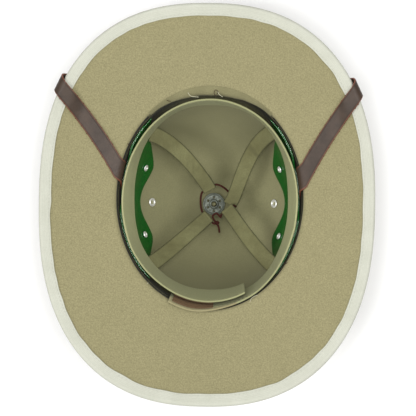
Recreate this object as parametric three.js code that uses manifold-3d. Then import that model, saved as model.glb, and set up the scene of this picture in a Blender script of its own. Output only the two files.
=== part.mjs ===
// Pith helmet lying on its crown, hollow up. Millimetres, +Z up, +Y towards the wearer's front.
// The origin is the middle of the flat face of the ventilator cap, on which the helmet rests.
import * as THREE from 'three';
import { mergeVertices } from 'three/addons/utils/BufferGeometryUtils.js';
import Module from 'manifold-3d';

const wasm = await Module();
wasm.setup();

// Fits: the gap left between neighbouring pieces
const clearance = 0.3;

// Shell: moulded crown and brim in one
const wall = 3;
const mouthLength = 215;
const mouthWidth = 181;
const mouthForward = 4.9;
const crownDepth = 115;
const crownFullness = 2.3;
const mouthBendRadius = 3;
const brimLength = 377.3;
const brimWidth = 317.8;
const brimFullness = 2.4;
const brimAside = -2.5;
const brimForward = -0.4;
const brimRiseSide = 20;
const brimRiseFront = 32;
const brimRiseBack = 39;
const brimEarlySlope = 0.7;
const ventHoleDiameter = 17;

// Lining: cloth laid inside the crown
const liningThickness = 1;
const liningTopDepth = 6;
const liningHoleDiameter = 15;

// Binding: tape folded over the brim's edge
const bindingThickness = 1;
const bindingWidth = 9.3;

// Hat band: folded cloth round the foot of the crown
const hatBandThickness = 1.6;
const hatBandTopDepth = 5;
const hatBandWidth = 34;
const hatBandStandoff = 0.6;
const hatBandPleats = 3;
const hatBandPleatDepth = 1;

// Ventilator: cap outside, stem through the shell, pierced plate inside
const capDiameter = 38;
const capFlatDiameter = 30;
const capHeight = 6.2;
const capThickness = 1.5;
const capAirGap = 2.2;
const stemDiameter = 5.2;
const stemFootDiameter = 10;
const stemFootThickness = 1.5;
const plateDiameter = 23;
const plateStandoff = 1.4;
const plateThickness = 1.2;
const plateRimWidth = 2;
const plateRimHeight = 1.2;
const plateBossDiameter = 8.4;
const plateBossHeight = 1.6;
const plateHoleDiameter = 2;
const plateHoleCircle = 13.8;
const plateHoleCount = 6;

// Eyelets: one through each side of the crown
const eyeletDiameter = 9;
const eyeletBore = 4.4;
const eyeletFlangeThickness = 0.9;
const eyeletTubeWall = 0.7;
const eyeletDepth = 89;
const eyeletStandoff = 1.4;

// Sweatband: cloth strip, its ends overlapping at the back
const bandHeight = 38;
const bandThickness = 2;
const bandRimAboveMouth = 1;
const bandRimSideGap = 5.5;
const bandRimEndGap = 8;
const bandRimForward = 1.9;
const bandSideTaper = 7.7;
const bandEndTaper = 5.5;
const bandDeepForward = 5.4;
const bandOverlap = 64;
const bandRimFullness = 2;
const bandDeepFullness = 2.25;
const bandEaseAngle = 62;
const flapRise = 9;
const flapReach = 7.5;
const flapHeight = 7;
const flapStartAngle = -24;
const flapFullAngle = 12;
const patchLength = 34;
const patchHeight = 24;
const patchTopDepth = 3;
const patchAside = 13;
const patchThickness = 1;
const patchStandoff = 0.6;
const patchGap = 0.5;

// Backing: scalloped vinyl sheet between sweatband and crown, one each side
const backingThickness = 1;
const backingStandoff = 1.5;
const rivetStandoff = 0.8;
const backingBandGap = 0.8;
const backingLeavesBand = 26;
const backingMeetsLining = 56;
const backingTopDepth = 4;
const backingTopDepthByStrap = 7;
const backingFlareStandoff = 0.7;
const backingFlareDepth = 20;
const backingClearOfStrap = 13;
const backingFlareAngle = 9;
const backingTopHalfAngle = 53;
const backingFootHalfAngle = 42;
const backingTipDepth = 60;
const backingLobeDepth = 81;
const backingWaistDepth = 71;
const backingLobePlace = 0.66;
const backingRivetAngle = 26;
const backingRivetDepth = 69;
const rivetHeadDiameter = 6;
const rivetHeadThickness = 0.9;
const rivetShankDiameter = 2.6;
const rivetReachIntoShell = 2;

// Suspension: four cloth straps drawn together by a cord
const strapOuterWidth = 16;
const strapInnerWidth = 14;
const strapThickness = 1;
const netDepth = 78.4;
const strapDrop = 2;
const strapArch = 2;
const strapRunSteps = 8;
const strapFoldReturn = 13;
const cordDiameter = 1.6;
const cordRoomInFold = 0.6;
const cordBeyondFold = 2.8;
const cordSides = 8;
const cordSteps = 38;

// Chin strap: leather, riveted in the gap, round the brim's edge and across in front of the crown
const chinWidth = 15;
const chinThickness = 1.8;
const chinStandoff = 0.8;
const chinWrapRadius = 5;
const chinEndDepth = 22;
const chinRivetDepth = 14;
const chinFrontGap = 20.6;
const chinEdgeReach = 15;
const chinBowAngle = 7;
const chinDriftAngle = 9;

// Colours
const khaki = 0xa8a07a;
const khakiLining = 0x8f8c68;
const offWhite = 0xdcddcd;
const vinylGreen = 0x0d5018;
const leatherBrown = 0x4a3022;
const cordBrown = 0x3a1410;
const tapeRedBrown = 0x6b2a1c;
const steelGrey = 0x8e9490;
const brassYellow = 0xb08d4a;

// Levels and half sizes that follow from the above
const crownTopZ = capHeight + capAirGap;
const mouthZ = crownTopZ + wall + crownDepth;
const middleDepth = crownDepth + wall / 2;
const mouthHalfWidth = (mouthWidth + wall) / 2;
const mouthHalfLength = (mouthLength + wall) / 2;
const degree = Math.PI / 180;
const ringSegments = 40;
const mouthCentre = new THREE.Vector2(0, mouthForward);
const brimCentre = new THREE.Vector2(brimAside, brimForward);
const bandRimWidth = mouthWidth - 2 * bandRimSideGap;
const bandRimLength = mouthLength - 2 * bandRimEndGap;
const bandDeepWidth = bandRimWidth - 2 * bandSideTaper;
const bandDeepLength = bandRimLength - 2 * bandEndTaper;

const mix = THREE.MathUtils.lerp;
const ease = THREE.MathUtils.smoothstep;

// Helpers: solids from three.js geometries whose points are put in place one by one

function closed(geometry) {
  geometry.deleteAttribute('normal');
  geometry.deleteAttribute('uv');
  const joined = mergeVertices(geometry, 1e-4);
  if (signedVolume(joined) < 0) {
    const index = joined.index.array;
    for (let i = 0; i < index.length; i += 3) {
      [index[i + 1], index[i + 2]] = [index[i + 2], index[i + 1]];
    }
  }
  joined.computeVertexNormals();
  return joined;
}

function signedVolume(geometry) {
  const index = geometry.index.array;
  const corner = (k) => new THREE.Vector3().fromBufferAttribute(geometry.attributes.position, index[k]);
  let volume = 0;
  for (let i = 0; i < index.length; i += 3) {
    volume += corner(i).dot(corner(i + 1).cross(corner(i + 2))) / 6;
  }
  return volume;
}

function moved(geometry, place) {
  const position = geometry.attributes.position;
  for (let i = 0; i < position.count; i += 1) {
    const point = place(position.getX(i), position.getY(i), position.getZ(i));
    position.setXYZ(i, point.x, point.y, point.z);
  }
  return closed(geometry);
}

// A closed section of [along, layer] rows turned once round; place(angle, along, layer) gives each point
function ring(section, place) {
  const offAxis = 50;
  const outline = section.map(([along, layer]) => new THREE.Vector2(offAxis + along, layer));
  outline.push(outline[0].clone());
  const turned = new THREE.LatheGeometry(outline, ringSegments);
  return moved(turned, (x, y, z) => place(Math.atan2(z, x), Math.hypot(x, z) - offAxis, y));
}

// A flat strip bent into place: place(along 0 to 1, across -1 to 1, through -1 to 1)
function strip(alongSteps, acrossSteps, place) {
  const flat = new THREE.BoxGeometry(1, 2, 2, alongSteps, acrossSteps, 1);
  return moved(flat, (x, y, z) => place(x + 0.5, y, z));
}

function round(profile, segments) {
  const turned = new THREE.LatheGeometry(profile.map(([r, z]) => new THREE.Vector2(r, z)), segments);
  turned.rotateX(Math.PI / 2);
  return closed(turned);
}

function solidOf(geometry) {
  const vertProperties = new Float32Array(geometry.attributes.position.array);
  const triVerts = new Uint32Array(geometry.index.array);
  return new wasm.Manifold(new wasm.Mesh({ numProp: 3, vertProperties, triVerts }));
}

function without(geometry, cutters) {
  let solid = solidOf(geometry);
  for (const cutter of cutters) {
    solid = solid.subtract(solidOf(cutter));
  }
  const mesh = solid.getMesh();
  const cut = new THREE.BufferGeometry();
  cut.setAttribute('position', new THREE.BufferAttribute(new Float32Array(mesh.vertProperties), 3));
  cut.setIndex(new THREE.BufferAttribute(new Uint32Array(mesh.triVerts), 1));
  cut.computeVertexNormals();
  return cut;
}

// The shell's middle surface. Share runs 0 to 1 up the crown, 1 to 2 round the mouth, 2 to 3 out over the brim.

function planRadius(angle, halfWidth, halfLength, fullness) {
  const across = Math.abs(Math.cos(angle) / halfWidth) ** fullness;
  const along = Math.abs(Math.sin(angle) / halfLength) ** fullness;
  return (across + along) ** (-1 / fullness);
}

function around(centre, angle, radius, z) {
  return new THREE.Vector3(centre.x + radius * Math.cos(angle), centre.y + radius * Math.sin(angle), z);
}

const mouthRadius = (angle) => planRadius(angle, mouthHalfWidth, mouthHalfLength, 2);
const edgeRadius = (angle) => planRadius(angle, brimWidth / 2, brimLength / 2, brimFullness);

function brimRise(angle) {
  const lengthwise = Math.sin(angle);
  const end = lengthwise > 0 ? brimRiseFront : brimRiseBack;
  return mix(brimRiseSide, end, lengthwise ** 2);
}

function brimStart(angle) {
  const reach = edgeRadius(angle) - mouthRadius(angle) - mouthBendRadius;
  const slope = (brimEarlySlope * (brimRise(angle) - mouthBendRadius)) / reach;
  const turn = Math.PI / 2 - Math.atan(slope);
  return { turn, out: mouthBendRadius * (1 - Math.cos(turn)), up: mouthBendRadius * Math.sin(turn) };
}

const holeTurn = Math.asin((ventHoleDiameter / 2 / mouthHalfLength) ** (crownFullness / 2));

function crownPoint(angle, share) {
  const turn = mix(holeTurn, Math.PI / 2, share);
  const width = Math.sin(turn) ** (2 / crownFullness);
  const drop = Math.max(Math.cos(turn), 0) ** (2 / crownFullness);
  const centre = mouthCentre.clone().multiplyScalar(1 - drop);
  return around(centre, angle, mouthRadius(angle) * width, mouthZ - middleDepth * drop);
}

function bendPoint(angle, share) {
  const turn = brimStart(angle).turn * (share - 1);
  const radius = mouthRadius(angle) + mouthBendRadius * (1 - Math.cos(turn));
  return around(mouthCentre, angle, radius, mouthZ + mouthBendRadius * Math.sin(turn));
}

function brimPoint(angle, share) {
  const out = share - 2;
  const start = brimStart(angle);
  const inner = around(mouthCentre, angle, mouthRadius(angle) + start.out, mouthZ + start.up);
  const edge = around(brimCentre, angle, edgeRadius(angle), mouthZ + brimRise(angle));
  const lift = mix(out, out ** 2, 1 - brimEarlySlope);
  return new THREE.Vector3(mix(inner.x, edge.x, out), mix(inner.y, edge.y, out), mix(inner.z, edge.z, lift));
}

function shellMiddle(angle, share) {
  if (share <= 1) return crownPoint(angle, share);
  return share <= 2 ? bendPoint(angle, share) : brimPoint(angle, share);
}

// Unit normal of the middle surface, towards the hollow
function shellNormal(angle, share) {
  const step = 1e-4;
  const outward = shellMiddle(angle, share + step).sub(shellMiddle(angle, share - step));
  const sideways = shellMiddle(angle + step, share).sub(shellMiddle(angle - step, share));
  return outward.cross(sideways).normalize();
}

function onShell(angle, share, layer) {
  return shellMiddle(angle, share).addScaledVector(shellNormal(angle, share), layer);
}

// Share of the crown's section at a depth below the mouth
function shareAtDepth(depth) {
  const turn = Math.acos((depth / middleDepth) ** (crownFullness / 2));
  return (turn - holeTurn) / (Math.PI / 2 - holeTurn);
}

// Share at which the crown's middle line is this far from the ventilator's axis, towards the front
function shareAtRadius(radius) {
  const turn = Math.asin((radius / mouthHalfLength) ** (crownFullness / 2));
  return (turn - holeTurn) / (Math.PI / 2 - holeTurn);
}

// Brim share at a distance in from its edge
function shareFromEdge(angle, distance) {
  const length = brimPoint(angle, 3).distanceTo(brimPoint(angle, 2));
  return 3 - distance / length;
}

// Stations of the shell's section
const crownStations = [0, 0.16, 0.33, 0.5, 0.67, 0.84, shareAtDepth(liningTopDepth)];
const mouthStations = [1, 1.5, 2];
const brimStations = [2.35, 2.65, 2.88, 3];

function sheetSection(stations, innerLayer, outerLayer) {
  const face = stations.map((share) => [share, innerLayer]);
  const back = stations.map((share) => [share, outerLayer]).reverse();
  return [...face, ...back];
}

// A peg of the given profile [radius, height] set square on the shell, height 0 on its middle surface
function pegOnShell(profile, segments, angle, depth) {
  const geometry = round(profile, segments);
  const share = shareAtDepth(depth);
  const turn = new THREE.Quaternion().setFromUnitVectors(new THREE.Vector3(0, 0, 1), shellNormal(angle, share));
  geometry.applyQuaternion(turn);
  const foot = shellMiddle(angle, share);
  return geometry.translate(foot.x, foot.y, foot.z);
}

// Where eyelets and rivets stand on the crown
const sides = [
  { name: 'left', middle: 180 * degree },
  { name: 'right', middle: 0 },
];
const eyeletPlaces = sides.map((side) => ({ name: side.name, angle: side.middle, depth: eyeletDepth }));
const rivetPlaces = sides.flatMap((side) => [
  { name: `${side.name}_front`, angle: side.middle, aside: side.name === 'left' ? -1 : 1 },
  { name: `${side.name}_back`, angle: side.middle, aside: side.name === 'left' ? 1 : -1 },
].map((row) => ({
  name: row.name,
  angle: row.angle + row.aside * backingRivetAngle * degree,
  depth: backingRivetDepth,
})));

// Layers above the shell's middle surface, towards the hollow
const shellFace = wall / 2;
const liningFoot = shellFace + clearance;
const liningFace = liningFoot + liningThickness;
const chinFoot = liningFace + chinStandoff;
const chinMiddleInGap = chinFoot + chinThickness / 2;
const chinFace = chinFoot + chinThickness;
const chinMiddleOnBrim = shellFace + clearance + chinThickness / 2;
const backingMiddleAtTop = liningFace + backingFlareStandoff + backingThickness / 2;
const backingMiddleAtLobe = liningFace + backingStandoff + backingThickness / 2;

function bore(radius, from, to) {
  return [[0, from], [radius, from], [radius, to], [0, to]];
}

const farOutside = -6;
const farInside = 12;

function eyeletHoles() {
  const radius = eyeletBore / 2 + eyeletTubeWall + clearance;
  return eyeletPlaces.map((at) => pegOnShell(bore(radius, farOutside, farInside), 12, at.angle, at.depth));
}

function rivetHoles(places, from) {
  const radius = rivetShankDiameter / 2 + clearance;
  return places.map((at) => pegOnShell(bore(radius, from, farInside), 8, at.angle, at.depth));
}

function rivetProfile(headFoot) {
  const shank = rivetShankDiameter / 2;
  const head = rivetHeadDiameter / 2;
  return [
    [0, shellFace - rivetReachIntoShell],
    [shank, shellFace - rivetReachIntoShell],
    [shank, headFoot],
    [head, headFoot],
    [head, headFoot + rivetHeadThickness * 0.4],
    [head * 0.6, headFoot + rivetHeadThickness],
    [0, headFoot + rivetHeadThickness],
  ];
}

const rivetHoleFloor = shellFace - rivetReachIntoShell - clearance;

function shell(chinRivets) {
  const stations = [...crownStations, ...mouthStations, ...brimStations];
  const whole = ring(sheetSection(stations, shellFace, -shellFace), onShell);
  return without(whole, [...eyeletHoles(), ...rivetHoles([...rivetPlaces, ...chinRivets], rivetHoleFloor)]);
}

function crownLining(chinRivets) {
  const stations = [shareAtRadius(liningHoleDiameter / 2), ...crownStations.slice(1)];
  const whole = ring(sheetSection(stations, liningFace, liningFoot), onShell);
  return without(whole, [...eyeletHoles(), ...rivetHoles([...rivetPlaces, ...chinRivets], rivetHoleFloor)]);
}

function brimBinding() {
  const inner = shellFace + clearance;
  const outer = inner + bindingThickness;
  const beyond = clearance + bindingThickness;
  const section = [
    [bindingWidth, outer],
    [0, outer],
    [-beyond, outer * 0.45],
    [-beyond, -outer * 0.45],
    [0, -outer],
    [bindingWidth, -outer],
    [bindingWidth, -inner],
    [-clearance, -inner],
    [-clearance, inner],
    [bindingWidth, inner],
  ];
  return ring(section, (angle, inward, layer) => onShell(angle, shareFromEdge(angle, inward), layer));
}

function hatBand() {
  const foot = shellFace + hatBandStandoff;
  const face = [];
  for (let pleat = 0; pleat < hatBandPleats; pleat += 1) {
    const top = hatBandTopDepth + (hatBandWidth * pleat) / hatBandPleats;
    const bottom = hatBandTopDepth + (hatBandWidth * (pleat + 0.98)) / hatBandPleats;
    face.push([top, foot + hatBandThickness], [bottom, foot + hatBandThickness + hatBandPleatDepth]);
  }
  const back = crownStationsBetween(hatBandTopDepth, hatBandTopDepth + hatBandWidth).map((depth) => [depth, foot]);
  const section = [...face, ...back.reverse()];
  return ring(section, (angle, depth, layer) => onShell(angle, shareAtDepth(depth), -layer));
}

// Depths of the crown's stations inside a span, with its two ends
function crownStationsBetween(top, bottom) {
  const depths = crownStations.map((share) => mouthZ - crownPoint(0, share).z);
  const inside = depths.filter((depth) => depth > top + 1 && depth < bottom - 1).reverse();
  return [top, ...inside, bottom];
}

function ventCap() {
  const rim = capDiameter / 2;
  const flat = capFlatDiameter / 2;
  const outside = [
    [0, 0],
    [flat, 0],
    [mix(flat, rim, 0.75), capHeight * 0.2],
    [rim, capHeight * 0.55],
    [rim, capHeight],
  ];
  const inside = [
    [rim - capThickness, capHeight],
    [rim - capThickness, capHeight * 0.6],
    [flat, capThickness],
    [0, capThickness],
  ];
  return round([...outside, ...inside], 24);
}

const plateFoot = crownTopZ + wall + clearance + liningThickness + plateStandoff;
const plateTop = plateFoot + plateThickness;

function ventStem() {
  const foot = capThickness + clearance;
  const shank = stemDiameter / 2;
  return round([
    [0, foot],
    [stemFootDiameter / 2, foot],
    [stemFootDiameter / 2, foot + stemFootThickness],
    [shank, foot + stemFootThickness],
    [shank, plateTop + plateBossHeight],
    [shank * 0.6, plateTop + plateBossHeight + 0.5],
    [0, plateTop + plateBossHeight + 0.5],
  ], 16);
}

function ventPlate() {
  const rim = plateDiameter / 2;
  const boss = plateBossDiameter / 2;
  const eye = stemDiameter / 2 + clearance;
  const profile = [
    [eye, plateFoot],
    [rim, plateFoot],
    [rim, plateTop + plateRimHeight * 0.6],
    [rim - plateRimWidth / 2, plateTop + plateRimHeight],
    [rim - plateRimWidth, plateTop],
    [boss + 0.5, plateTop],
    [boss, plateTop + plateBossHeight],
    [eye, plateTop + plateBossHeight],
    [eye, plateFoot],
  ];
  const holes = [];
  for (let i = 0; i < plateHoleCount; i += 1) {
    const angle = ((i + 0.5) * 2 * Math.PI) / plateHoleCount;
    const hole = round(bore(plateHoleDiameter / 2, plateFoot - 1, plateTop + 1), 8);
    holes.push(hole.translate((plateHoleCircle / 2) * Math.cos(angle), (plateHoleCircle / 2) * Math.sin(angle), 0));
  }
  return without(round(profile, 20), holes);
}

function eyelet(at) {
  const inner = eyeletBore / 2;
  const tube = inner + eyeletTubeWall;
  const flange = eyeletDiameter / 2;
  const foot = liningFace + eyeletStandoff;
  return pegOnShell([
    [inner, -shellFace],
    [tube, -shellFace],
    [tube, foot],
    [flange, foot],
    [flange - 0.8, foot + eyeletFlangeThickness],
    [tube - 0.2, foot + eyeletFlangeThickness],
    [inner, foot + eyeletFlangeThickness * 0.5],
    [inner, -shellFace],
  ], 12, at.angle, at.depth);
}

// Sweatband: how far round is measured from the middle of the back, towards the left, front and right

const bandRimZ = mouthZ + bandRimAboveMouth;
const bandOverlapHalfAngle = Math.asin(bandOverlap / bandRimWidth);
const bandTurns = 2 * Math.PI + 2 * bandOverlapHalfAngle;
const bandEndOffset = bandThickness / 2 + patchStandoff + patchThickness + patchGap / 2;

function bandMiddle(round, deep) {
  const angle = -Math.PI / 2 - round;
  const flap = flapShare(round);
  const level = deep - (flapRise * flap) / bandHeight;
  const halfWidth = mix(bandRimWidth, bandDeepWidth, level) / 2;
  const halfLength = mix(bandRimLength, bandDeepLength, level) / 2;
  const fullness = mix(bandRimFullness, bandDeepFullness, level);
  const centre = new THREE.Vector2(0, mix(bandRimForward, bandDeepForward, level));
  const turnedOut = flapReach * Math.max(1 - (deep * bandHeight) / flapHeight, 0);
  const offset = bandEndOffset * bandEndShare(round) + turnedOut * flap ** 3;
  const radius = planRadius(angle, halfWidth, halfLength, fullness) + offset;
  return around(centre, angle, radius, bandRimZ - bandHeight * level);
}

// -1 where the band's inner end lies inside the overlap, 1 where its outer end lies outside, easing to 0 between
function bandEndShare(round) {
  const lap = 2 * Math.PI;
  const nearStart = 1 - ease(round, bandOverlapHalfAngle, bandEaseAngle * degree);
  const nearEnd = ease(round, lap - bandEaseAngle * degree, lap - bandOverlapHalfAngle);
  return nearEnd - nearStart;
}

// 1 where the band's outer end stands up and turns out over the brim, easing to 0 before the overlap
function flapShare(round) {
  const lap = 2 * Math.PI;
  return ease(round, lap + flapStartAngle * degree, lap + flapFullAngle * degree);
}

function onBand(round, deep, layer) {
  const step = 1e-3;
  const along = bandMiddle(round + step, deep).sub(bandMiddle(round - step, deep));
  const down = bandMiddle(round, deep + step).sub(bandMiddle(round, deep - step));
  const outward = along.cross(down).normalize();
  return bandMiddle(round, deep).addScaledVector(outward, layer);
}

// Stations down the band: its rim, the foot of the part that turns out at the flap, and the deep edge
const bandStations = [0, flapHeight / bandHeight, 1];

function sweatband() {
  return strip(48, bandStations.length - 1, (along, across, through) => {
    const roundFromBack = mix(-bandOverlapHalfAngle, bandTurns - bandOverlapHalfAngle, along);
    return onBand(roundFromBack, atStation(bandStations, (1 + across) / 2), (through * bandThickness) / 2);
  });
}

// The station that evenly spread steps stand for
function atStation(stations, share) {
  return stations[Math.round(share * (stations.length - 1))];
}

// A patch on one face of the band near an end: turns is 0 for the first lap, 1 for the last
function bandPatch(turns, face) {
  const halfAngle = patchLength / bandRimWidth;
  const middle = turns * 2 * Math.PI + (2 * patchAside) / bandRimWidth;
  const stations = [patchTopDepth, flapHeight, patchTopDepth + patchHeight];
  const layer = face * (bandThickness / 2 + patchStandoff + patchThickness / 2);
  return strip(6, stations.length - 1, (along, across, through) => {
    const roundFromBack = middle + mix(-halfAngle, halfAngle, along);
    const deep = atStation(stations, (1 + across) / 2) / bandHeight;
    return onBand(roundFromBack, deep, layer + (through * patchThickness) / 2);
  });
}

// Vinyl backing: a sheet with its top edge in the gap and two lobes at its foot, lying on the lining

function backingFootDepth(aside) {
  const place = Math.abs(aside);
  if (place > backingLobePlace) {
    const fall = (place - backingLobePlace) / (1 - backingLobePlace);
    return mix(backingLobeDepth, backingTipDepth, fall ** 2);
  }
  return mix(backingWaistDepth, backingLobeDepth, (1 - Math.cos((Math.PI * place) / backingLobePlace)) / 2);
}

// 0 where the chin strap lies behind the sheet, 1 away from it
function awayFromStrap(angle) {
  const aside = chinHalves.map((half) => {
    const middle = half.mouthAngle + (half.hand * chinDriftAngle) / 2;
    return Math.abs(THREE.MathUtils.euclideanModulo(angle / degree - middle + 180, 360) - 180);
  });
  return ease(Math.min(...aside), backingClearOfStrap, backingClearOfStrap + backingFlareAngle);
}

// The sheet stands off the sweatband at its top edge, hugs it below that and lies on the lining at its foot
function backingPoint(angle, depth, through) {
  const layer = (through * backingThickness) / 2;
  const roundFromBack = THREE.MathUtils.euclideanModulo(-Math.PI / 2 - angle, 2 * Math.PI);
  const deep = (depth + bandRimAboveMouth) / bandHeight;
  const offBand = (bandThickness + backingThickness) / 2 + backingBandGap;
  const byBand = onBand(roundFromBack, deep, offBand - layer);
  const byLining = onShell(angle, shareAtDepth(depth), backingMiddleAtLobe + layer);
  const flared = onShell(angle, shareAtDepth(depth), backingMiddleAtTop + layer);
  const room = awayFromStrap(angle) * (1 - Math.max(bandEndShare(roundFromBack), 0));
  const flare = room * (1 - ease(depth, backingTopDepth, backingFlareDepth));
  const foot = ease(depth, backingLeavesBand, backingMeetsLining);
  return byBand.lerp(flared, flare).lerp(byLining, foot);
}

function backing(side) {
  const places = rivetPlaces.filter((at) => at.name.startsWith(side.name));
  const sheet = strip(12, 4, (along, across, through) => {
    const aside = mix(-1, 1, along);
    const down = (1 + across) / 2;
    const angle = side.middle + aside * mix(backingTopHalfAngle, backingFootHalfAngle, down) * degree;
    const top = mix(backingTopDepthByStrap, backingTopDepth, awayFromStrap(angle));
    return backingPoint(angle, mix(top, backingFootDepth(aside), down), through);
  });
  return without(sheet, rivetHoles(places, farOutside));
}

// Suspension straps: outer end on the sweatband's deep edge, inner end folded round the cord.
// Columns: the outer end, two points the strap bows towards and the fold, as shares of the sweatband's deep half
// width and half length from its middle; and how far the fold lies above the net's level.
const suspension = [
  {
    name: 'left_front',
    outer: [-0.77, 0.675],
    leaving: [-0.45, 0.6],
    entering: [-0.14, 0.24],
    fold: [-0.05, 0.11],
    lift: 0,
  },
  {
    name: 'right_front',
    outer: [0.763, 0.705],
    leaving: [0.445, 0.565],
    entering: [0.36, 0.12],
    fold: [0.235, -0.045],
    lift: -3.5,
  },
  {
    name: 'right_back',
    outer: [0.782, -0.683],
    leaving: [0.505, -0.483],
    entering: [0.31, -0.22],
    fold: [0.2, -0.115],
    lift: 4.5,
  },
  {
    name: 'left_back',
    outer: [-0.748, -0.692],
    leaving: [-0.53, -0.563],
    entering: [-0.272, -0.36],
    fold: [-0.066, -0.2],
    lift: 0,
  },
];

const netZ = mouthZ - netDepth;
const cordRadius = cordDiameter / 2;
const foldRadius = cordRadius + cordRoomInFold + strapThickness / 2;
const bandDeepZ = bandRimZ - bandHeight;

function strapPlan(row) {
  const shares = [row.outer, row.leaving, row.entering, row.fold];
  const points = shares.map(([across, forward]) => new THREE.Vector2(
    (across * bandDeepWidth) / 2,
    bandDeepForward + (forward * bandDeepLength) / 2,
  ));
  return new THREE.CubicBezierCurve(...points);
}

// Side profile of a strap: points of distance along its plan and height, from under the band's edge to the fold
function strapProfile(row) {
  const run = strapPlan(row).getLength();
  const startZ = bandDeepZ - clearance - strapThickness / 2;
  const centreZ = netZ + row.lift;
  const line = [[-1.5, startZ]];
  for (let i = 0; i < strapRunSteps; i += 1) {
    const share = i / strapRunSteps;
    const arch = strapArch * Math.sin(Math.PI * share) - strapDrop * Math.sin(2 * Math.PI * share);
    line.push([run * share, mix(startZ, centreZ + foldRadius, share) + arch]);
  }
  for (let turn = 90; turn >= -90; turn -= 30) {
    line.push([run + foldRadius * Math.cos(turn * degree), centreZ + foldRadius * Math.sin(turn * degree)]);
  }
  line.push([run - strapFoldReturn, centreZ - foldRadius]);
  return line.map(([x, y]) => new THREE.Vector2(x, y));
}

function suspensionStrap(row) {
  const plan = strapPlan(row);
  const run = plan.getLength();
  const profile = strapProfile(row);
  const last = profile.length - 1;
  return strip(last, 1, (along, across, through) => {
    const i = Math.round(along * last);
    const at = profile[i];
    const way = profile[Math.min(i + 1, last)].clone().sub(profile[Math.max(i - 1, 0)]).normalize();
    const share = THREE.MathUtils.clamp(at.x / run, 0, 1);
    const heading = plan.getTangentAt(share);
    const halfWidth = mix(strapOuterWidth, strapInnerWidth, share) / 2;
    const foot = plan.getPointAt(share)
      .addScaledVector(heading, at.x - run * share - (way.y * through * strapThickness) / 2)
      .addScaledVector(new THREE.Vector2(-heading.y, heading.x), across * halfWidth);
    return new THREE.Vector3(foot.x, foot.y, at.y + (way.x * through * strapThickness) / 2);
  });
}

// Drawstring: from its tail past the knot, through the four folds, then a small bow back to the knot. Its free
// points are shares of a strap's inner width from the ventilator's axis and from the net's level.
function drawstringRoute() {
  const throughFold = (row, order) => {
    const plan = strapPlan(row);
    const end = plan.getPointAt(1);
    const heading = plan.getTangentAt(1);
    const reach = strapInnerWidth / 2 + cordBeyondFold;
    return [-reach, 0, reach].map((aside) => {
      const sideways = aside * order;
      return new THREE.Vector3(end.x - heading.y * sideways, end.y + heading.x * sideways, netZ + row.lift);
    });
  };
  const place = (across, forward, up) => (
    new THREE.Vector3(across, forward, up).multiplyScalar(strapInnerWidth).setZ(netZ + up * strapInnerWidth)
  );
  const [leftFront, rightFront, rightBack, leftBack] = suspension;
  return [
    place(0.51, -2.07, -0.25),
    place(0.46, -1.71, -0.11),
    place(0.33, -1.47, -0.03),
    ...throughFold(leftBack, 1),
    ...throughFold(leftFront, 1),
    ...throughFold(rightFront, 1),
    ...throughFold(rightBack, 1),
    place(0.61, -0.96, 0.39),
    place(0.31, -0.67, 0.5),
    place(0.03, -0.86, 0.47),
    place(0.24, -1.36, 0.17),
  ];
}

function drawstring() {
  const route = new THREE.CatmullRomCurve3(drawstringRoute(), false, 'centripetal');
  const corners = [];
  for (let i = 0; i < cordSides; i += 1) {
    const angle = (i * 2 * Math.PI) / cordSides;
    corners.push(new THREE.Vector2(cordRadius * Math.cos(angle), cordRadius * Math.sin(angle)));
  }
  const section = new THREE.Shape(corners);
  return closed(new THREE.ExtrudeGeometry(section, { steps: cordSteps, extrudePath: route, bevelEnabled: false }));
}

// Chin strap. Each half runs from the gap at the mouth out over the hollow side of the brim, round the
// edge and back over the upper side to the middle of the front. Columns: the angles at which its middle line
// crosses the mouth and the brim's edge, and the hand it turns to.
const chinHalves = [
  { name: 'left', mouthAngle: 163, edgeAngle: 141, hand: 1 },
  { name: 'right', mouthAngle: 12.9, edgeAngle: 38, hand: -1 },
];

// Shares of a half's length at which it leaves the gap, the brim's hollow side and the edge
const chinStretches = { gap: 0.16, brim: 0.42, edge: 0.78 };

// Share of the gap's stretch at which the strap reaches the mouth's bend
const chinUpToBend = 0.72;

// Angle and share of a plan point on the brim
function brimPlace(point) {
  let place = { angle: 0, share: 2.5 };
  for (let pass = 0; pass < 12; pass += 1) {
    const centre = mouthCentre.clone().lerp(brimCentre, place.share - 2);
    const angle = Math.atan2(point.y - centre.y, point.x - centre.x);
    const inner = mouthRadius(angle) + brimStart(angle).out;
    const reached = Math.hypot(point.x - centre.x, point.y - centre.y);
    place = { angle, share: 2 + (reached - inner) / (edgeRadius(angle) - inner) };
  }
  return place;
}

function chinOffset(fromEdge) {
  return mix(chinWrapRadius, chinMiddleOnBrim, ease(fromEdge, bindingWidth, bindingWidth + 18));
}

// A point over a plan point of the brim, on the hollow side (1) or the upper side (-1)
function overBrim(point, side, through) {
  const place = brimPlace(point);
  const fromEdge = (3 - place.share) * (edgeRadius(place.angle) - mouthRadius(place.angle));
  return onShell(place.angle, place.share, side * (chinOffset(fromEdge) + (through * chinThickness) / 2));
}

const chinFrontY = mouthForward + mouthLength / 2 + wall + chinFrontGap;
const quarterTurn = (vector, hand) => new THREE.Vector2(-vector.y * hand, vector.x * hand);

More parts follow.
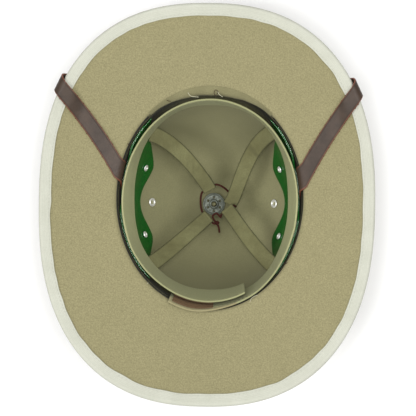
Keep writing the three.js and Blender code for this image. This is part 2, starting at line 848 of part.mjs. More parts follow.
// The half's frame where its middle line crosses the edge, and its plan curves on both sides of the brim
function chinRoute(half) {
  const angle = half.edgeAngle * degree;
  const edge = brimPoint(angle, 3);
  const at = new THREE.Vector2(edge.x, edge.y);
  const run = brimPoint(angle + 1e-3, 3).sub(edge);
  const tangent = new THREE.Vector2(run.x, run.y).normalize();
  const inward = new THREE.Vector2(-tangent.y, tangent.x);
  const inMouth = crownPoint(half.mouthAngle * degree, 1);
  const mouth = new THREE.Vector2(inMouth.x, inMouth.y);
  const straight = mouth.clone().sub(at).normalize();
  const inside = mouth.clone().addScaledVector(straight, chinWidth / 2);
  const heading = straight.rotateAround(new THREE.Vector2(), half.hand * chinBowAngle * degree);
  const alongEdge = heading.dot(tangent);
  const acrossEdge = heading.dot(inward);
  const quarter = (chinWrapRadius * Math.PI) / 2;
  const plan = (side) => at.clone()
    .addScaledVector(tangent, side * chinEdgeReach * alongEdge)
    .addScaledVector(inward, chinEdgeReach * acrossEdge - quarter);
  const reflected = inward.clone().multiplyScalar(acrossEdge).addScaledVector(tangent, -alongEdge);
  const underStart = plan(1);
  const upperStart = plan(-1);
  const front = new THREE.Vector2(0, chinFrontY);
  const underPull = underStart.distanceTo(inside) / 2;
  const upperPull = upperStart.distanceTo(front) * 0.45;
  const underControl = underStart.clone().addScaledVector(heading, underPull);
  const upperControl = upperStart.clone().addScaledVector(reflected, upperPull);
  const frontControl = new THREE.Vector2(-half.hand * upperPull, chinFrontY);
  return {
    half,
    at,
    tangent,
    inward,
    heading,
    under: new THREE.QuadraticBezierCurve(underStart, underControl, inside),
    upper: new THREE.CubicBezierCurve(upperStart, upperControl, frontControl, front),
  };
}

// Round the edge: distance along the middle line past the crossing, towards the hollow side if positive
function chinRoundEdge(route, distance, aside, through) {
  const sideways = quarterTurn(route.heading, route.half.hand).multiplyScalar(aside);
  const step = route.heading.clone().multiplyScalar(distance).add(sideways);
  const acrossEdge = step.dot(route.inward);
  const quarter = (chinWrapRadius * Math.PI) / 2;
  const foot = route.at.clone().addScaledVector(route.tangent, step.dot(route.tangent));
  if (Math.abs(acrossEdge) > quarter) {
    foot.addScaledVector(route.inward, Math.abs(acrossEdge) - quarter);
    return overBrim(foot, Math.sign(acrossEdge), through);
  }
  const place = brimPlace(foot);
  const middle = brimPoint(place.angle, place.share);
  const outward = brimPoint(place.angle, place.share + 1e-3).sub(middle).normalize();
  const radius = chinWrapRadius + (through * chinThickness) / 2;
  const turn = acrossEdge / chinWrapRadius;
  return middle
    .addScaledVector(outward, radius * Math.cos(turn))
    .addScaledVector(shellNormal(place.angle, place.share), radius * Math.sin(turn));
}

function chinPlan(route, share, aside) {
  const sideways = quarterTurn(route.under.getTangent(share), route.half.hand);
  return route.under.getPoint(share).addScaledVector(sideways, aside);
}

// Where one line of the strap goes over the mouth's bend
function chinAtMouth(route, aside) {
  let [near, far] = [0, 1];
  for (let pass = 0; pass < 24; pass += 1) {
    const share = (near + far) / 2;
    if (brimPlace(chinPlan(route, share, aside)).share > 2) near = share;
    else far = share;
  }
  return { share: near, angle: brimPlace(chinPlan(route, near, aside)).angle };
}

// In the gap: from the strap's end (0) up round the mouth's bend to the brim (1)
function chinInGap(route, angle, up, through) {
  const inCrown = mix(shareAtDepth(chinEndDepth), 1, up / chinUpToBend);
  const share = up < chinUpToBend ? inCrown : mix(1, 2, (up - chinUpToBend) / (1 - chinUpToBend));
  const drift = route.half.hand * chinDriftAngle * degree * (1 - up);
  const layer = mix(chinMiddleInGap, chinMiddleOnBrim, ease(share, 1, 2));
  return onShell(angle + drift, share, layer + (through * chinThickness) / 2);
}

function chinHalfPoint(route, along, aside, through) {
  const { gap, brim, edge } = chinStretches;
  if (along > edge) {
    const share = (along - edge) / (1 - edge);
    const sideways = quarterTurn(route.upper.getTangent(share), -route.half.hand);
    return overBrim(route.upper.getPoint(share).addScaledVector(sideways, -aside), -1, through);
  }
  if (along > brim) {
    const distance = mix(chinEdgeReach, -chinEdgeReach, (along - brim) / (edge - brim));
    return chinRoundEdge(route, distance, aside, through);
  }
  const mouth = chinAtMouth(route, aside);
  if (along > gap) {
    const share = mouth.share * (1 - (along - gap) / (brim - gap));
    return overBrim(chinPlan(route, share, aside), 1, through);
  }
  return chinInGap(route, mouth.angle, along / gap, through);
}

const chinRoutes = chinHalves.map(chinRoute);

function chinRivetPlace(route) {
  const end = shareAtDepth(chinEndDepth);
  const up = (chinUpToBend * (shareAtDepth(chinRivetDepth) - end)) / (1 - end);
  const drift = route.half.hand * chinDriftAngle * degree * (1 - up);
  return { name: route.half.name, angle: chinAtMouth(route, 0).angle + drift, depth: chinRivetDepth };
}

const chinRivetPlaces = chinRoutes.map(chinRivetPlace);

function chinStrap() {
  const band = strip(56, 3, (along, across, through) => {
    const [route, share] = along < 0.5 ? [chinRoutes[0], 2 * along] : [chinRoutes[1], 2 - 2 * along];
    return chinHalfPoint(route, share, across * (chinWidth / 2), through);
  });
  return without(band, rivetHoles(chinRivetPlaces, rivetHoleFloor));
}

// Assembly

function piece(name, geometry, colour, roughness, metalness = 0) {
  const mesh = new THREE.Mesh(geometry, new THREE.MeshStandardMaterial({ color: colour, roughness, metalness }));
  mesh.name = name;
  return mesh;
}

function rivet(name, at, headFoot) {
  return piece(name, pegOnShell(rivetProfile(headFoot), 8, at.angle, at.depth), steelGrey, 0.35, 1);
}

function group(...pieces) {
  return new THREE.Group().add(...pieces);
}

const backingFace = backingMiddleAtLobe + backingThickness / 2;

const body = group(
  piece('shell', shell(chinRivetPlaces), khaki, 0.9),
  piece('crown_lining', crownLining(chinRivetPlaces), khakiLining, 0.95),
  piece('brim_binding', brimBinding(), offWhite, 0.85),
  piece('hat_band', hatBand(), khaki, 0.9),
);

const ventilation = group(
  piece('vent_cap', ventCap(), khaki, 0.6),
  piece('vent_stem', ventStem(), brassYellow, 0.35, 1),
  piece('vent_plate', ventPlate(), steelGrey, 0.4, 1),
  ...eyeletPlaces.map((at) => piece(`eyelet_${at.name}`, eyelet(at), steelGrey, 0.3, 1)),
);

const headband = group(
  piece('sweatband', sweatband(), khaki, 0.9),
  piece('loop_patch', bandPatch(0, 1), tapeRedBrown, 0.95),
  piece('hook_patch', bandPatch(1, -1), tapeRedBrown, 0.95),
  ...sides.map((side) => piece(`backing_${side.name}`, backing(side), vinylGreen, 0.25)),
  ...rivetPlaces.map((at) => rivet(`backing_rivet_${at.name}`, at, backingFace + rivetStandoff)),
);

const headNet = group(
  ...suspension.map((row) => piece(`suspension_strap_${row.name}`, suspensionStrap(row), khaki, 0.9)),
  piece('drawstring', drawstring(), cordBrown, 0.8),
);

const chin = group(
  piece('chin_strap', chinStrap(), leatherBrown, 0.45),
  ...chinRivetPlaces.map((at) => rivet(`chin_rivet_${at.name}`, at, chinFace + clearance)),
);

export default group(body, ventilation, headband, headNet, chin);
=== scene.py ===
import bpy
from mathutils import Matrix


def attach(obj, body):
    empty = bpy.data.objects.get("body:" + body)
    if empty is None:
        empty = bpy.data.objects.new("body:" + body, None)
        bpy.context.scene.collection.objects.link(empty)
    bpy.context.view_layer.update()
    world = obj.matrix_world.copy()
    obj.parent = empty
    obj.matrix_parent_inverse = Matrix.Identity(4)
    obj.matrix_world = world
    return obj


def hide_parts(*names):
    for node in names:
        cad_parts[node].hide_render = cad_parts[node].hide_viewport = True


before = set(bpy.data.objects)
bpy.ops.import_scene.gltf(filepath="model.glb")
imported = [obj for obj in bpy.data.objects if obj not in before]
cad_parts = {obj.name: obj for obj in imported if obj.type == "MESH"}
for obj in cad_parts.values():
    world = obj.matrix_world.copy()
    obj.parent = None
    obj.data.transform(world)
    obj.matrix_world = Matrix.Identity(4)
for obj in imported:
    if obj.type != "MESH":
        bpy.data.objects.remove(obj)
"""Pith helmet lying on its crown, seen into the hollow. Metres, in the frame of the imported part."""
import logging
import math
from dataclasses import dataclass, field
from enum import Enum
from typing import Callable, Sequence

import bmesh
import bpy
from mathutils import Matrix, Vector, noise

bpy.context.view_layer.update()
LOG = logging.getLogger("pith_helmet")
MM = 0.001
DEGREE = math.pi / 180
BODY = "root"

TURN = 2 * math.pi
SMALL_STEP = 1e-3

Colour = tuple[float, float, float]
Span = tuple[float, float]
Place = Callable[[float, float], Vector]
Seam = Sequence[tuple[Vector, Vector]]
Piece = bpy.types.Object
Socket = bpy.types.NodeSocket
Value = Socket | float
Tint = Socket | Colour | float


def mix(start: float, end: float, share: float) -> float:
    """Value at a share of the way from start to end."""
    return start + (end - start) * share


def ease(value: float, low: float, high: float) -> float:
    """Smooth step from 0 at low to 1 at high."""
    share = min(max((value - low) / (high - low), 0.0), 1.0)
    return share * share * (3 - 2 * share)


def shade(colour: Colour, share: float) -> Colour:
    """A colour with this share of its light."""
    return tuple(channel * share for channel in colour)


def plan_radius(angle: float, half_width: float, half_length: float, fullness: float) -> float:
    """Radius of a full oval.

    Args:
        angle: direction in the plan, in radians.
        half_width: half the oval's width.
        half_length: half the oval's length.
        fullness: 2 for an ellipse, more for a fuller oval.

    Returns:
        The distance from the middle to the oval.
    """
    across = abs(math.cos(angle) / half_width) ** fullness
    along = abs(math.sin(angle) / half_length) ** fullness
    return (across + along) ** (-1 / fullness)


def around(centre: Vector, angle: float, radius: float, height: float) -> Vector:
    """Point at an angle and radius from a plan centre, at a height."""
    return Vector((centre.x + radius * math.cos(angle), centre.y + radius * math.sin(angle), height))


def ripple(point: Vector, size: float, amount: float) -> float:
    """Smooth unevenness of hand-laid cloth.

    Args:
        point: where on the piece.
        size: length of the ripples.
        amount: their height.

    Returns:
        The offset from the smooth form.
    """
    return noise.noise(point / size) * amount


@dataclass(frozen=True)
class HelmetForm:
    """Middle surface of the shell.

    Share runs from 0 to 1 up the crown, from 1 to 2 round the mouth and from 2 to 3 out over the brim.
    """

    wall: float = 3 * MM
    mouth_length: float = 215 * MM
    mouth_width: float = 181 * MM
    mouth_forward: float = 4.9 * MM
    crown_depth: float = 115 * MM
    crown_fullness: float = 2.3
    mouth_bend: float = 3 * MM
    brim_length: float = 377.3 * MM
    brim_width: float = 317.8 * MM
    brim_fullness: float = 2.4
    brim_aside: float = -2.5 * MM
    brim_forward: float = -0.4 * MM
    rise_side: float = 20 * MM
    rise_front: float = 32 * MM
    rise_back: float = 39 * MM
    early_slope: float = 0.7
    vent_hole: float = 17 * MM
    crown_top: float = 8.4 * MM
    clearance: float = 0.3 * MM
    lining_thickness: float = 1 * MM

    @property
    def mouth_height(self) -> float:
        """Height of the mouth plane."""
        return self.crown_top + self.wall + self.crown_depth

    @property
    def face(self) -> float:
        """Layer of the shell's face on the hollow side."""
        return self.wall / 2

    @property
    def lining_face(self) -> float:
        """Layer of the lining's face."""
        return self.face + self.clearance + self.lining_thickness

    @property
    def half_mouth(self) -> Vector:
        """Half width and half length of the middle surface in the mouth."""
        return Vector(((self.mouth_width + self.wall) / 2, (self.mouth_length + self.wall) / 2))

    @property
    def mouth_centre(self) -> Vector:
        """Plan centre of the mouth."""
        return Vector((0, self.mouth_forward))

    @property
    def brim_centre(self) -> Vector:
        """Plan centre of the brim's edge."""
        return Vector((self.brim_aside, self.brim_forward))

    @property
    def hole_turn(self) -> float:
        """Turn of the crown's section at the ventilator's hole."""
        return math.asin((self.vent_hole / 2 / self.half_mouth.y) ** (self.crown_fullness / 2))

    def mouth_radius(self, angle: float) -> float:
        """Radius of the middle surface in the mouth."""
        return plan_radius(angle, self.half_mouth.x, self.half_mouth.y, 2)

    def edge_radius(self, angle: float) -> float:
        """Radius of the brim's edge."""
        return plan_radius(angle, self.brim_width / 2, self.brim_length / 2, self.brim_fullness)

    def brim_rise(self, angle: float) -> float:
        """Height of the brim's edge over the mouth plane.

        Args:
            angle: direction in the plan, in radians.

        Returns:
            The height.
        """
        lengthwise = math.sin(angle)
        end = self.rise_front if lengthwise > 0 else self.rise_back
        return mix(self.rise_side, end, lengthwise**2)

    def brim_start(self, angle: float) -> tuple[float, float, float]:
        """Turn, reach and rise of the mouth's bend where the brim starts.

        Args:
            angle: direction in the plan, in radians.

        Returns:
            The bend's turn, and how far out and up it leads.
        """
        reach = self.edge_radius(angle) - self.mouth_radius(angle) - self.mouth_bend
        slope = self.early_slope * (self.brim_rise(angle) - self.mouth_bend) / reach
        turn = math.pi / 2 - math.atan(slope)
        return turn, self.mouth_bend * (1 - math.cos(turn)), self.mouth_bend * math.sin(turn)

    def middle(self, angle: float, share: float) -> Vector:
        """Point of the middle surface at an angle and a share.

        Args:
            angle: direction in the plan, in radians.
            share: place on the shell's section, 0 to 3.

        Returns:
            The point.
        """
        if share <= 1:
            turn = mix(self.hole_turn, math.pi / 2, share)
            width = math.sin(turn) ** (2 / self.crown_fullness)
            drop = max(math.cos(turn), 0.0) ** (2 / self.crown_fullness)
            height = self.mouth_height - (self.crown_depth + self.wall / 2) * drop
            return around(self.mouth_centre * (1 - drop), angle, self.mouth_radius(angle) * width, height)
        turn, out, up = self.brim_start(angle)
        if share <= 2:
            bend = turn * (share - 1)
            radius = self.mouth_radius(angle) + self.mouth_bend * (1 - math.cos(bend))
            height = self.mouth_height + self.mouth_bend * math.sin(bend)
            return around(self.mouth_centre, angle, radius, height)
        inner = around(self.mouth_centre, angle, self.mouth_radius(angle) + out, self.mouth_height + up)
        edge_height = self.mouth_height + self.brim_rise(angle)
        edge = around(self.brim_centre, angle, self.edge_radius(angle), edge_height)
        reach = share - 2
        lift = mix(reach, reach**2, 1 - self.early_slope)
        return Vector((mix(inner.x, edge.x, reach), mix(inner.y, edge.y, reach), mix(inner.z, edge.z, lift)))

    def normal(self, angle: float, share: float) -> Vector:
        """Unit normal of the middle surface, towards the hollow.

        Args:
            angle: direction in the plan, in radians.
            share: place on the shell's section, 0 to 3.

        Returns:
            The unit normal.
        """
        step = SMALL_STEP
        outward = self.middle(angle, share + step) - self.middle(angle, share - step)
        sideways = self.middle(angle + step, share) - self.middle(angle - step, share)
        return outward.cross(sideways).normalized()

    def on(self, angle: float, share: float, layer: float) -> Vector:
        """Point over the middle surface, layer towards the hollow."""
        return self.middle(angle, share) + self.normal(angle, share) * layer

    def share_at_depth(self, depth: float) -> float:
        """Share of the crown's section at a depth below the mouth."""
        turn = math.acos((depth / (self.crown_depth + self.wall / 2)) ** (self.crown_fullness / 2))
        return (turn - self.hole_turn) / (math.pi / 2 - self.hole_turn)

    def share_at_radius(self, radius: float) -> float:
        """Share at which the crown is this far from the ventilator's axis, towards the front."""
        turn = math.asin((radius / self.half_mouth.y) ** (self.crown_fullness / 2))
        return (turn - self.hole_turn) / (math.pi / 2 - self.hole_turn)

    def share_from_edge(self, angle: float, distance: float) -> float:
        """Brim share at a distance in from its edge."""
        return 3 - distance / (self.middle(angle, 3) - self.middle(angle, 2)).length

    def brim_place(self, point: Vector) -> tuple[float, float]:
        """Angle and share of a plan point on the brim.

        Args:
            point: a point over or under the brim.

        Returns:
            The angle and the share.
        """
        angle, share = 0.0, 2.5
        for _ in range(12):
            centre = self.mouth_centre.lerp(self.brim_centre, share - 2)
            angle = math.atan2(point.y - centre.y, point.x - centre.x)
            inner = self.mouth_radius(angle) + self.brim_start(angle)[1]
            share = 2 + ((point.xy - centre).length - inner) / (self.edge_radius(angle) - inner)
        return angle, share

    def seat(self, angle: float, share: float) -> Matrix:
        """Matrix that stands a piece square on the shell, its foot on the middle surface."""
        turn = self.normal(angle, share).to_track_quat("Z", "Y").to_matrix().to_4x4()
        return Matrix.Translation(self.middle(angle, share)) @ turn


FORM = HelmetForm()


class Side(Enum):
    """Side of the helmet, with the angle of its middle."""

    LEFT = math.pi
    RIGHT = 0.0

    @property
    def word(self) -> str:
        """Side's name in pieces' names."""
        return self.name.lower()

    @property
    def forward(self) -> int:
        """Hand of a turn towards the front."""
        return -1 if self is Side.LEFT else 1


# Materials


class Pad:
    """Node tree of one material, with short calls for the nodes that the finishes share."""

    def __init__(self, name: str) -> None:
        """Starts a material with a Principled shader.

        Args:
            name: the material's name.
        """
        self.material = bpy.data.materials.new(name)
        self.material.use_nodes = True
        self.nodes = self.material.node_tree.nodes
        self.links = self.material.node_tree.links
        self.shader = next(n for n in self.nodes if n.type == "BSDF_PRINCIPLED")

    def node(self, kind: str, inputs: dict | None = None, **settings) -> bpy.types.Node:
        """Adds a node.

        Args:
            kind: the node's type name without its prefix.
            inputs: values or sockets for its inputs.
            settings: its own settings.

        Returns:
            The new node.
        """
        made = self.nodes.new("ShaderNode" + kind)
        for key, value in settings.items():
            setattr(made, key, value)
        for key, value in (inputs or {}).items():
            if isinstance(value, Socket):
                self.links.new(value, made.inputs[key])
            else:
                made.inputs[key].default_value = value
        return made

    def coordinates(self, uv: bool) -> Socket:
        """The piece's own UV map or Object coordinates."""
        return self.node("TexCoord").outputs["UV" if uv else "Object"]

    def parts(self, vector: Socket) -> bpy.types.Node:
        """Splits a vector into X, Y and Z."""
        return self.node("SeparateXYZ", {0: vector})

    def math(self, operation: str, first: Value, second: Value = 0.0) -> Socket:
        """Result of one sum."""
        return self.node("Math", {0: first, 1: second}, operation=operation).outputs[0]

    def plus(self, first: Value, second: Value) -> Socket:
        """Sum of two values."""
        return self.math("ADD", first, second)

    def times(self, first: Value, second: Value) -> Socket:
        """Product of two values."""
        return self.math("MULTIPLY", first, second)

    def apart(self, first: Value, second: Value) -> Socket:
        """How far apart two values are."""
        return self.math("ABSOLUTE", self.math("SUBTRACT", first, second))

    def grain(self, vector: Socket, size: float, detail: float = 3) -> Socket:
        """Noise with features of a size in metres."""
        made = self.node("TexNoise", {"Vector": vector, "Scale": 1 / size, "Detail": detail, "Roughness": 0.6})
        return made.outputs["Fac"]

    def band(self, vector: Socket, pitch: float, direction: str, distortion: float = 0.0) -> Socket:
        """Waves with a pitch in metres along an axis.

        Args:
            vector: the coordinates.
            pitch: distance from wave to wave.
            direction: X or Y.
            distortion: how uneven the waves are.

        Returns:
            The waves' socket.
        """
        inputs = {"Vector": vector, "Scale": math.pi / 10 / pitch, "Distortion": distortion}
        made = self.node("TexWave", {**inputs, "Detail": 2.0, "Detail Scale": 2.0}, bands_direction=direction)
        return made.outputs["Fac"]

    def blend(self, share: Value, first: Tint, second: Tint) -> Socket:
        """Mix of two colours.

        Args:
            share: share of the second colour.
            first: a colour or its socket.
            second: a colour or its socket.

        Returns:
            The mixed colour's socket.
        """
        made = self.node("Mix", data_type="RGBA")
        for socket, value in ((made.inputs[0], share), (made.inputs[6], first), (made.inputs[7], second)):
            if isinstance(value, Socket):
                self.links.new(value, socket)
            elif isinstance(value, tuple):
                socket.default_value = (*value, 1)
            else:
                socket.default_value = value
        return made.outputs[2]

    def spread(self, value: Socket, low: float, high: float, start: float = 0.0, end: float = 1.0) -> Socket:
        """Maps a span of a value onto another."""
        inputs = {"Value": value, "From Min": low, "From Max": high, "To Min": start, "To Max": end}
        return self.node("MapRange", inputs).outputs["Result"]

    def near(self, value: Socket, target: float, width: float) -> Socket:
        """1 where a value is at the target, falling to 0 at a width from it."""
        return self.spread(self.apart(value, target), 0.0, width, 1.0, 0.0)

    def finish(
        self, colour: Tint, roughness: float, relief: Socket | None = None, depth: float = 0.0, **constants: float
    ) -> bpy.types.Material:
        """Wires the shader.

        Args:
            colour: a colour or its socket.
            roughness: the shader's roughness.
            relief: height socket of the surface's relief.
            depth: the relief's depth in metres.
            constants: other inputs of the shader, by name with underscores.

        Returns:
            The finished material.
        """
        if isinstance(colour, tuple):
            self.shader.inputs["Base Color"].default_value = (*colour, 1)
        else:
            self.links.new(colour, self.shader.inputs["Base Color"])
        self.shader.inputs["Roughness"].default_value = roughness
        for key, value in constants.items():
            self.shader.inputs[key.replace("_", " ")].default_value = value
        if relief is not None:
            bump = self.node("Bump", {"Height": relief, "Strength": 1.0, "Distance": depth})
            self.links.new(bump.outputs[0], self.shader.inputs["Normal"])
        return self.material


@dataclass(frozen=True)
class ClothFinish:
    """Woven cotton with uneven dye, slubs and rubbed places.

    Three shares paint shade into it: darker round the axis, near the mouth behind the sweatband, and towards
    front and back.
    A strap's width, where given, paints a shadow along both its edges.
    """

    name: str
    colour: Colour
    worn: Colour
    pitch: float = 0.7 * MM
    depth: float = 0.12 * MM
    on_uv: bool = True
    seams: int = 0
    seam_span: float = 0.62
    ribbed: bool = False
    slubs: float = 0.22
    painted_axis_shade: float = 1.0
    painted_gap_shade: float = 1.0
    painted_end_shade: float = 1.0
    painted_edge_shadow_width: float = 0.0
    end_shade_span: Span = (28 * MM, 72 * MM)
    axis_shade_span: Span = (12 * MM, 46 * MM)
    gap_shade_span: Span = (92 * MM, 108 * MM)

    def material(self) -> bpy.types.Material:
        """Builds the finish.

        Returns:
            The material.
        """
        pad = Pad(self.name)
        place = pad.coordinates(self.on_uv)
        solid = pad.coordinates(False)
        warp = pad.band(place, self.pitch, "X", 0.6)
        weft = pad.band(place, self.pitch * (2.6 if self.ribbed else 1.0), "Y", 0.6)
        weave = pad.plus(pad.times(warp, 0.5), pad.times(weft, 0.5))
        cloudy = pad.spread(pad.grain(solid, 22 * MM, 5), 0.35, 0.7)
        slub = pad.spread(pad.grain(solid, 1.3 * MM, 3), 0.3, 0.72)
        dye_and_painted_shade = pad.blend(cloudy, self.colour, self.worn)
        across, forward, height = pad.parts(solid).outputs
        # Painted shade: darker towards front and back, where less light falls on the walls.
        if self.painted_end_shade < 1:
            away = pad.spread(pad.math("ABSOLUTE", forward), *self.end_shade_span)
            dye_and_painted_shade = pad.blend(away, dye_and_painted_shade, shade(self.colour, self.painted_end_shade))
        # Painted shade: darker round the axis, deep in the crown.
        if self.painted_axis_shade < 1:
            out = pad.plus(pad.times(across, across), pad.times(forward, forward))
            near = pad.spread(pad.math("SQRT", out), *self.axis_shade_span, 1.0, 0.0)
            dye_and_painted_shade = pad.blend(near, dye_and_painted_shade, shade(self.colour, self.painted_axis_shade))
            # Painted shade: nearly black behind the sweatband, where the gap at the mouth lies in shadow.
            high = pad.spread(height, *self.gap_shade_span)
            dye_and_painted_shade = pad.blend(high, dye_and_painted_shade, shade(self.colour, self.painted_gap_shade))
        # Painted shadow: dark lines along both edges of a strap.
        if self.painted_edge_shadow_width:
            beside = pad.apart(pad.parts(place).outputs[1], self.painted_edge_shadow_width / 2)
            rim = pad.spread(beside, self.painted_edge_shadow_width * 0.40, self.painted_edge_shadow_width * 0.5, 0.0, 0.95)
            dye_and_painted_shade = pad.blend(rim, dye_and_painted_shade, shade(self.colour, 0.16))
        shaded = pad.blend(pad.spread(slub, 0.0, 1.0, 0.0, self.slubs), dye_and_painted_shade, shade(self.colour, 0.55))
        woven = pad.blend(pad.spread(weave, 0.0, 0.5, 0.30, 0.0), shaded, shade(self.colour, 0.5))
        relief = pad.plus(weave, pad.times(slub, 0.8))
        if self.seams:
            turn = pad.times(pad.parts(pad.coordinates(True)).outputs[0], self.seams / self.seam_span)
            line = pad.near(pad.math("FRACT", turn), 0.5, 0.010)
            beside = pad.near(pad.math("FRACT", turn), 0.475, 0.030)
            woven = pad.blend(pad.times(line, 0.45), woven, shade(self.colour, 0.35))
            relief = pad.math("SUBTRACT", pad.plus(relief, pad.times(beside, 3.0)), pad.times(line, 4.0))
        sheen = {"Specular_IOR_Level": 0.08, "Sheen_Weight": 0.05, "Sheen_Roughness": 0.5}
        return pad.finish(woven, 0.95, relief, self.depth, **sheen)


@dataclass(frozen=True)
class LeatherFinish:
    """Dark strap leather, polished by wear, with raw reddish edges."""

    name: str
    colour: Colour
    worn: Colour
    edge: Colour
    width: float

    def material(self) -> bpy.types.Material:
        """Builds the finish; UV runs along and across the strap in metres.

        Returns:
            The material.
        """
        pad = Pad(self.name)
        across = pad.parts(pad.coordinates(True)).outputs[1]
        solid = pad.coordinates(False)
        cloudy = pad.spread(pad.grain(solid, 14 * MM, 5), 0.4, 0.72)
        pores = pad.node("TexVoronoi", {"Vector": solid, "Scale": 1 / (0.9 * MM)}).outputs["Distance"]
        scuff = pad.spread(pad.grain(solid, 1.4 * MM, 5), 0.52, 0.7)
        edge = pad.spread(pad.apart(across, self.width / 2), self.width * 0.42, self.width * 0.5)
        base = pad.blend(cloudy, self.colour, self.worn)
        scuffed = pad.blend(pad.times(scuff, 0.3), base, self.worn)
        shown = pad.blend(edge, scuffed, self.edge)
        crease = pad.near(pad.apart(across, self.width / 2), self.width * 0.40, self.width * 0.03)
        relief = pad.math("SUBTRACT", pad.plus(pores, pad.times(cloudy, 0.8)), pad.times(crease, 2.0))
        gloss = {"Specular_IOR_Level": 0.2, "Coat_Weight": 0.06, "Coat_Roughness": 0.35}
        return pad.finish(shown, 0.44, relief, 0.10 * MM, **gloss)


@dataclass(frozen=True)
class SheetPlasticFinish:
    """Glossy vinyl sheet, softly wrinkled and scratched."""

    name: str
    colour: Colour
    rubbed: Colour

    def material(self) -> bpy.types.Material:
        """Builds the finish.

        Returns:
            The material.
        """
        pad = Pad(self.name)
        solid = pad.coordinates(False)
        rub = pad.spread(pad.grain(solid, 6 * MM, 6), 0.45, 0.75)
        waves = pad.grain(solid, 18 * MM, 2)
        shown = pad.blend(pad.times(rub, 0.6), self.colour, self.rubbed)
        relief = pad.plus(waves, pad.times(rub, 0.06))
        gloss = {"Specular_IOR_Level": 0.5, "Coat_Weight": 0.3, "Coat_Roughness": 0.12}
        return pad.finish(shown, 0.22, relief, 0.9 * MM, **gloss)


@dataclass(frozen=True)
class MetalFinish:
    """Pressed or turned metal, dulled and lightly tarnished."""

    name: str
    colour: Colour
    tarnish: Colour
    roughness: float
    metallic: float = 1.0

    def material(self) -> bpy.types.Material:
        """Builds the finish.

        Returns:
            The material.
        """
        pad = Pad(self.name)
        solid = pad.coordinates(False)
        dull = pad.spread(pad.grain(solid, 3 * MM, 5), 0.4, 0.7)
        fine = pad.grain(solid, 0.5 * MM, 3)
        shown = pad.blend(dull, self.colour, self.tarnish)
        rough = pad.spread(dull, 0.0, 1.0, self.roughness, self.roughness + 0.2)
        material = pad.finish(shown, self.roughness, fine, 0.03 * MM, Metallic=self.metallic)
        pad.links.new(rough, pad.shader.inputs["Roughness"])
        return material


@dataclass(frozen=True)
class TwistFinish:
    """Twisted cord or thread; UV runs along it in metres and once round it."""

    name: str
    colour: Colour
    lit: Colour
    lay: float

    def material(self) -> bpy.types.Material:
        """Builds the finish.

        Returns:
            The material.
        """
        pad = Pad(self.name)
        parts = pad.parts(pad.coordinates(True))
        turned = pad.plus(pad.times(parts.outputs[0], 1 / self.lay), pad.times(parts.outputs[1], 2.0))
        strand = pad.spread(pad.apart(pad.math("FRACT", turned), 0.5), 0.0, 0.5)
        shown = pad.blend(strand, self.lit, self.colour)
        return pad.finish(shown, 0.85, strand, 0.2 * MM, Specular_IOR_Level=0.15)


@dataclass(frozen=True)
class NapFinish:
    """Hook and loop tape."""

    name: str
    colour: Colour
    tip: Colour

    def material(self) -> bpy.types.Material:
        """Builds the finish.

        Returns:
            The material.
        """
        pad = Pad(self.name)
        solid = pad.coordinates(False)
        cells = pad.node("TexVoronoi", {"Vector": solid, "Scale": 1 / (1.1 * MM)}).outputs["Distance"]
        nap = pad.spread(pad.grain(solid, 0.8 * MM, 4), 0.35, 0.7)
        shown = pad.blend(nap, self.colour, self.tip)
        return pad.finish(shown, 0.95, pad.plus(cells, nap), 0.4 * MM, Specular_IOR_Level=0.15)


@dataclass(frozen=True)
class PlainFinish:
    """Floor of the studio."""

    name: str
    colour: Colour

    def material(self) -> bpy.types.Material:
        """Builds the finish."""
        return Pad(self.name).finish(self.colour, 0.9, Specular_IOR_Level=0.1)


KHAKI = (0.268, 0.244, 0.131)


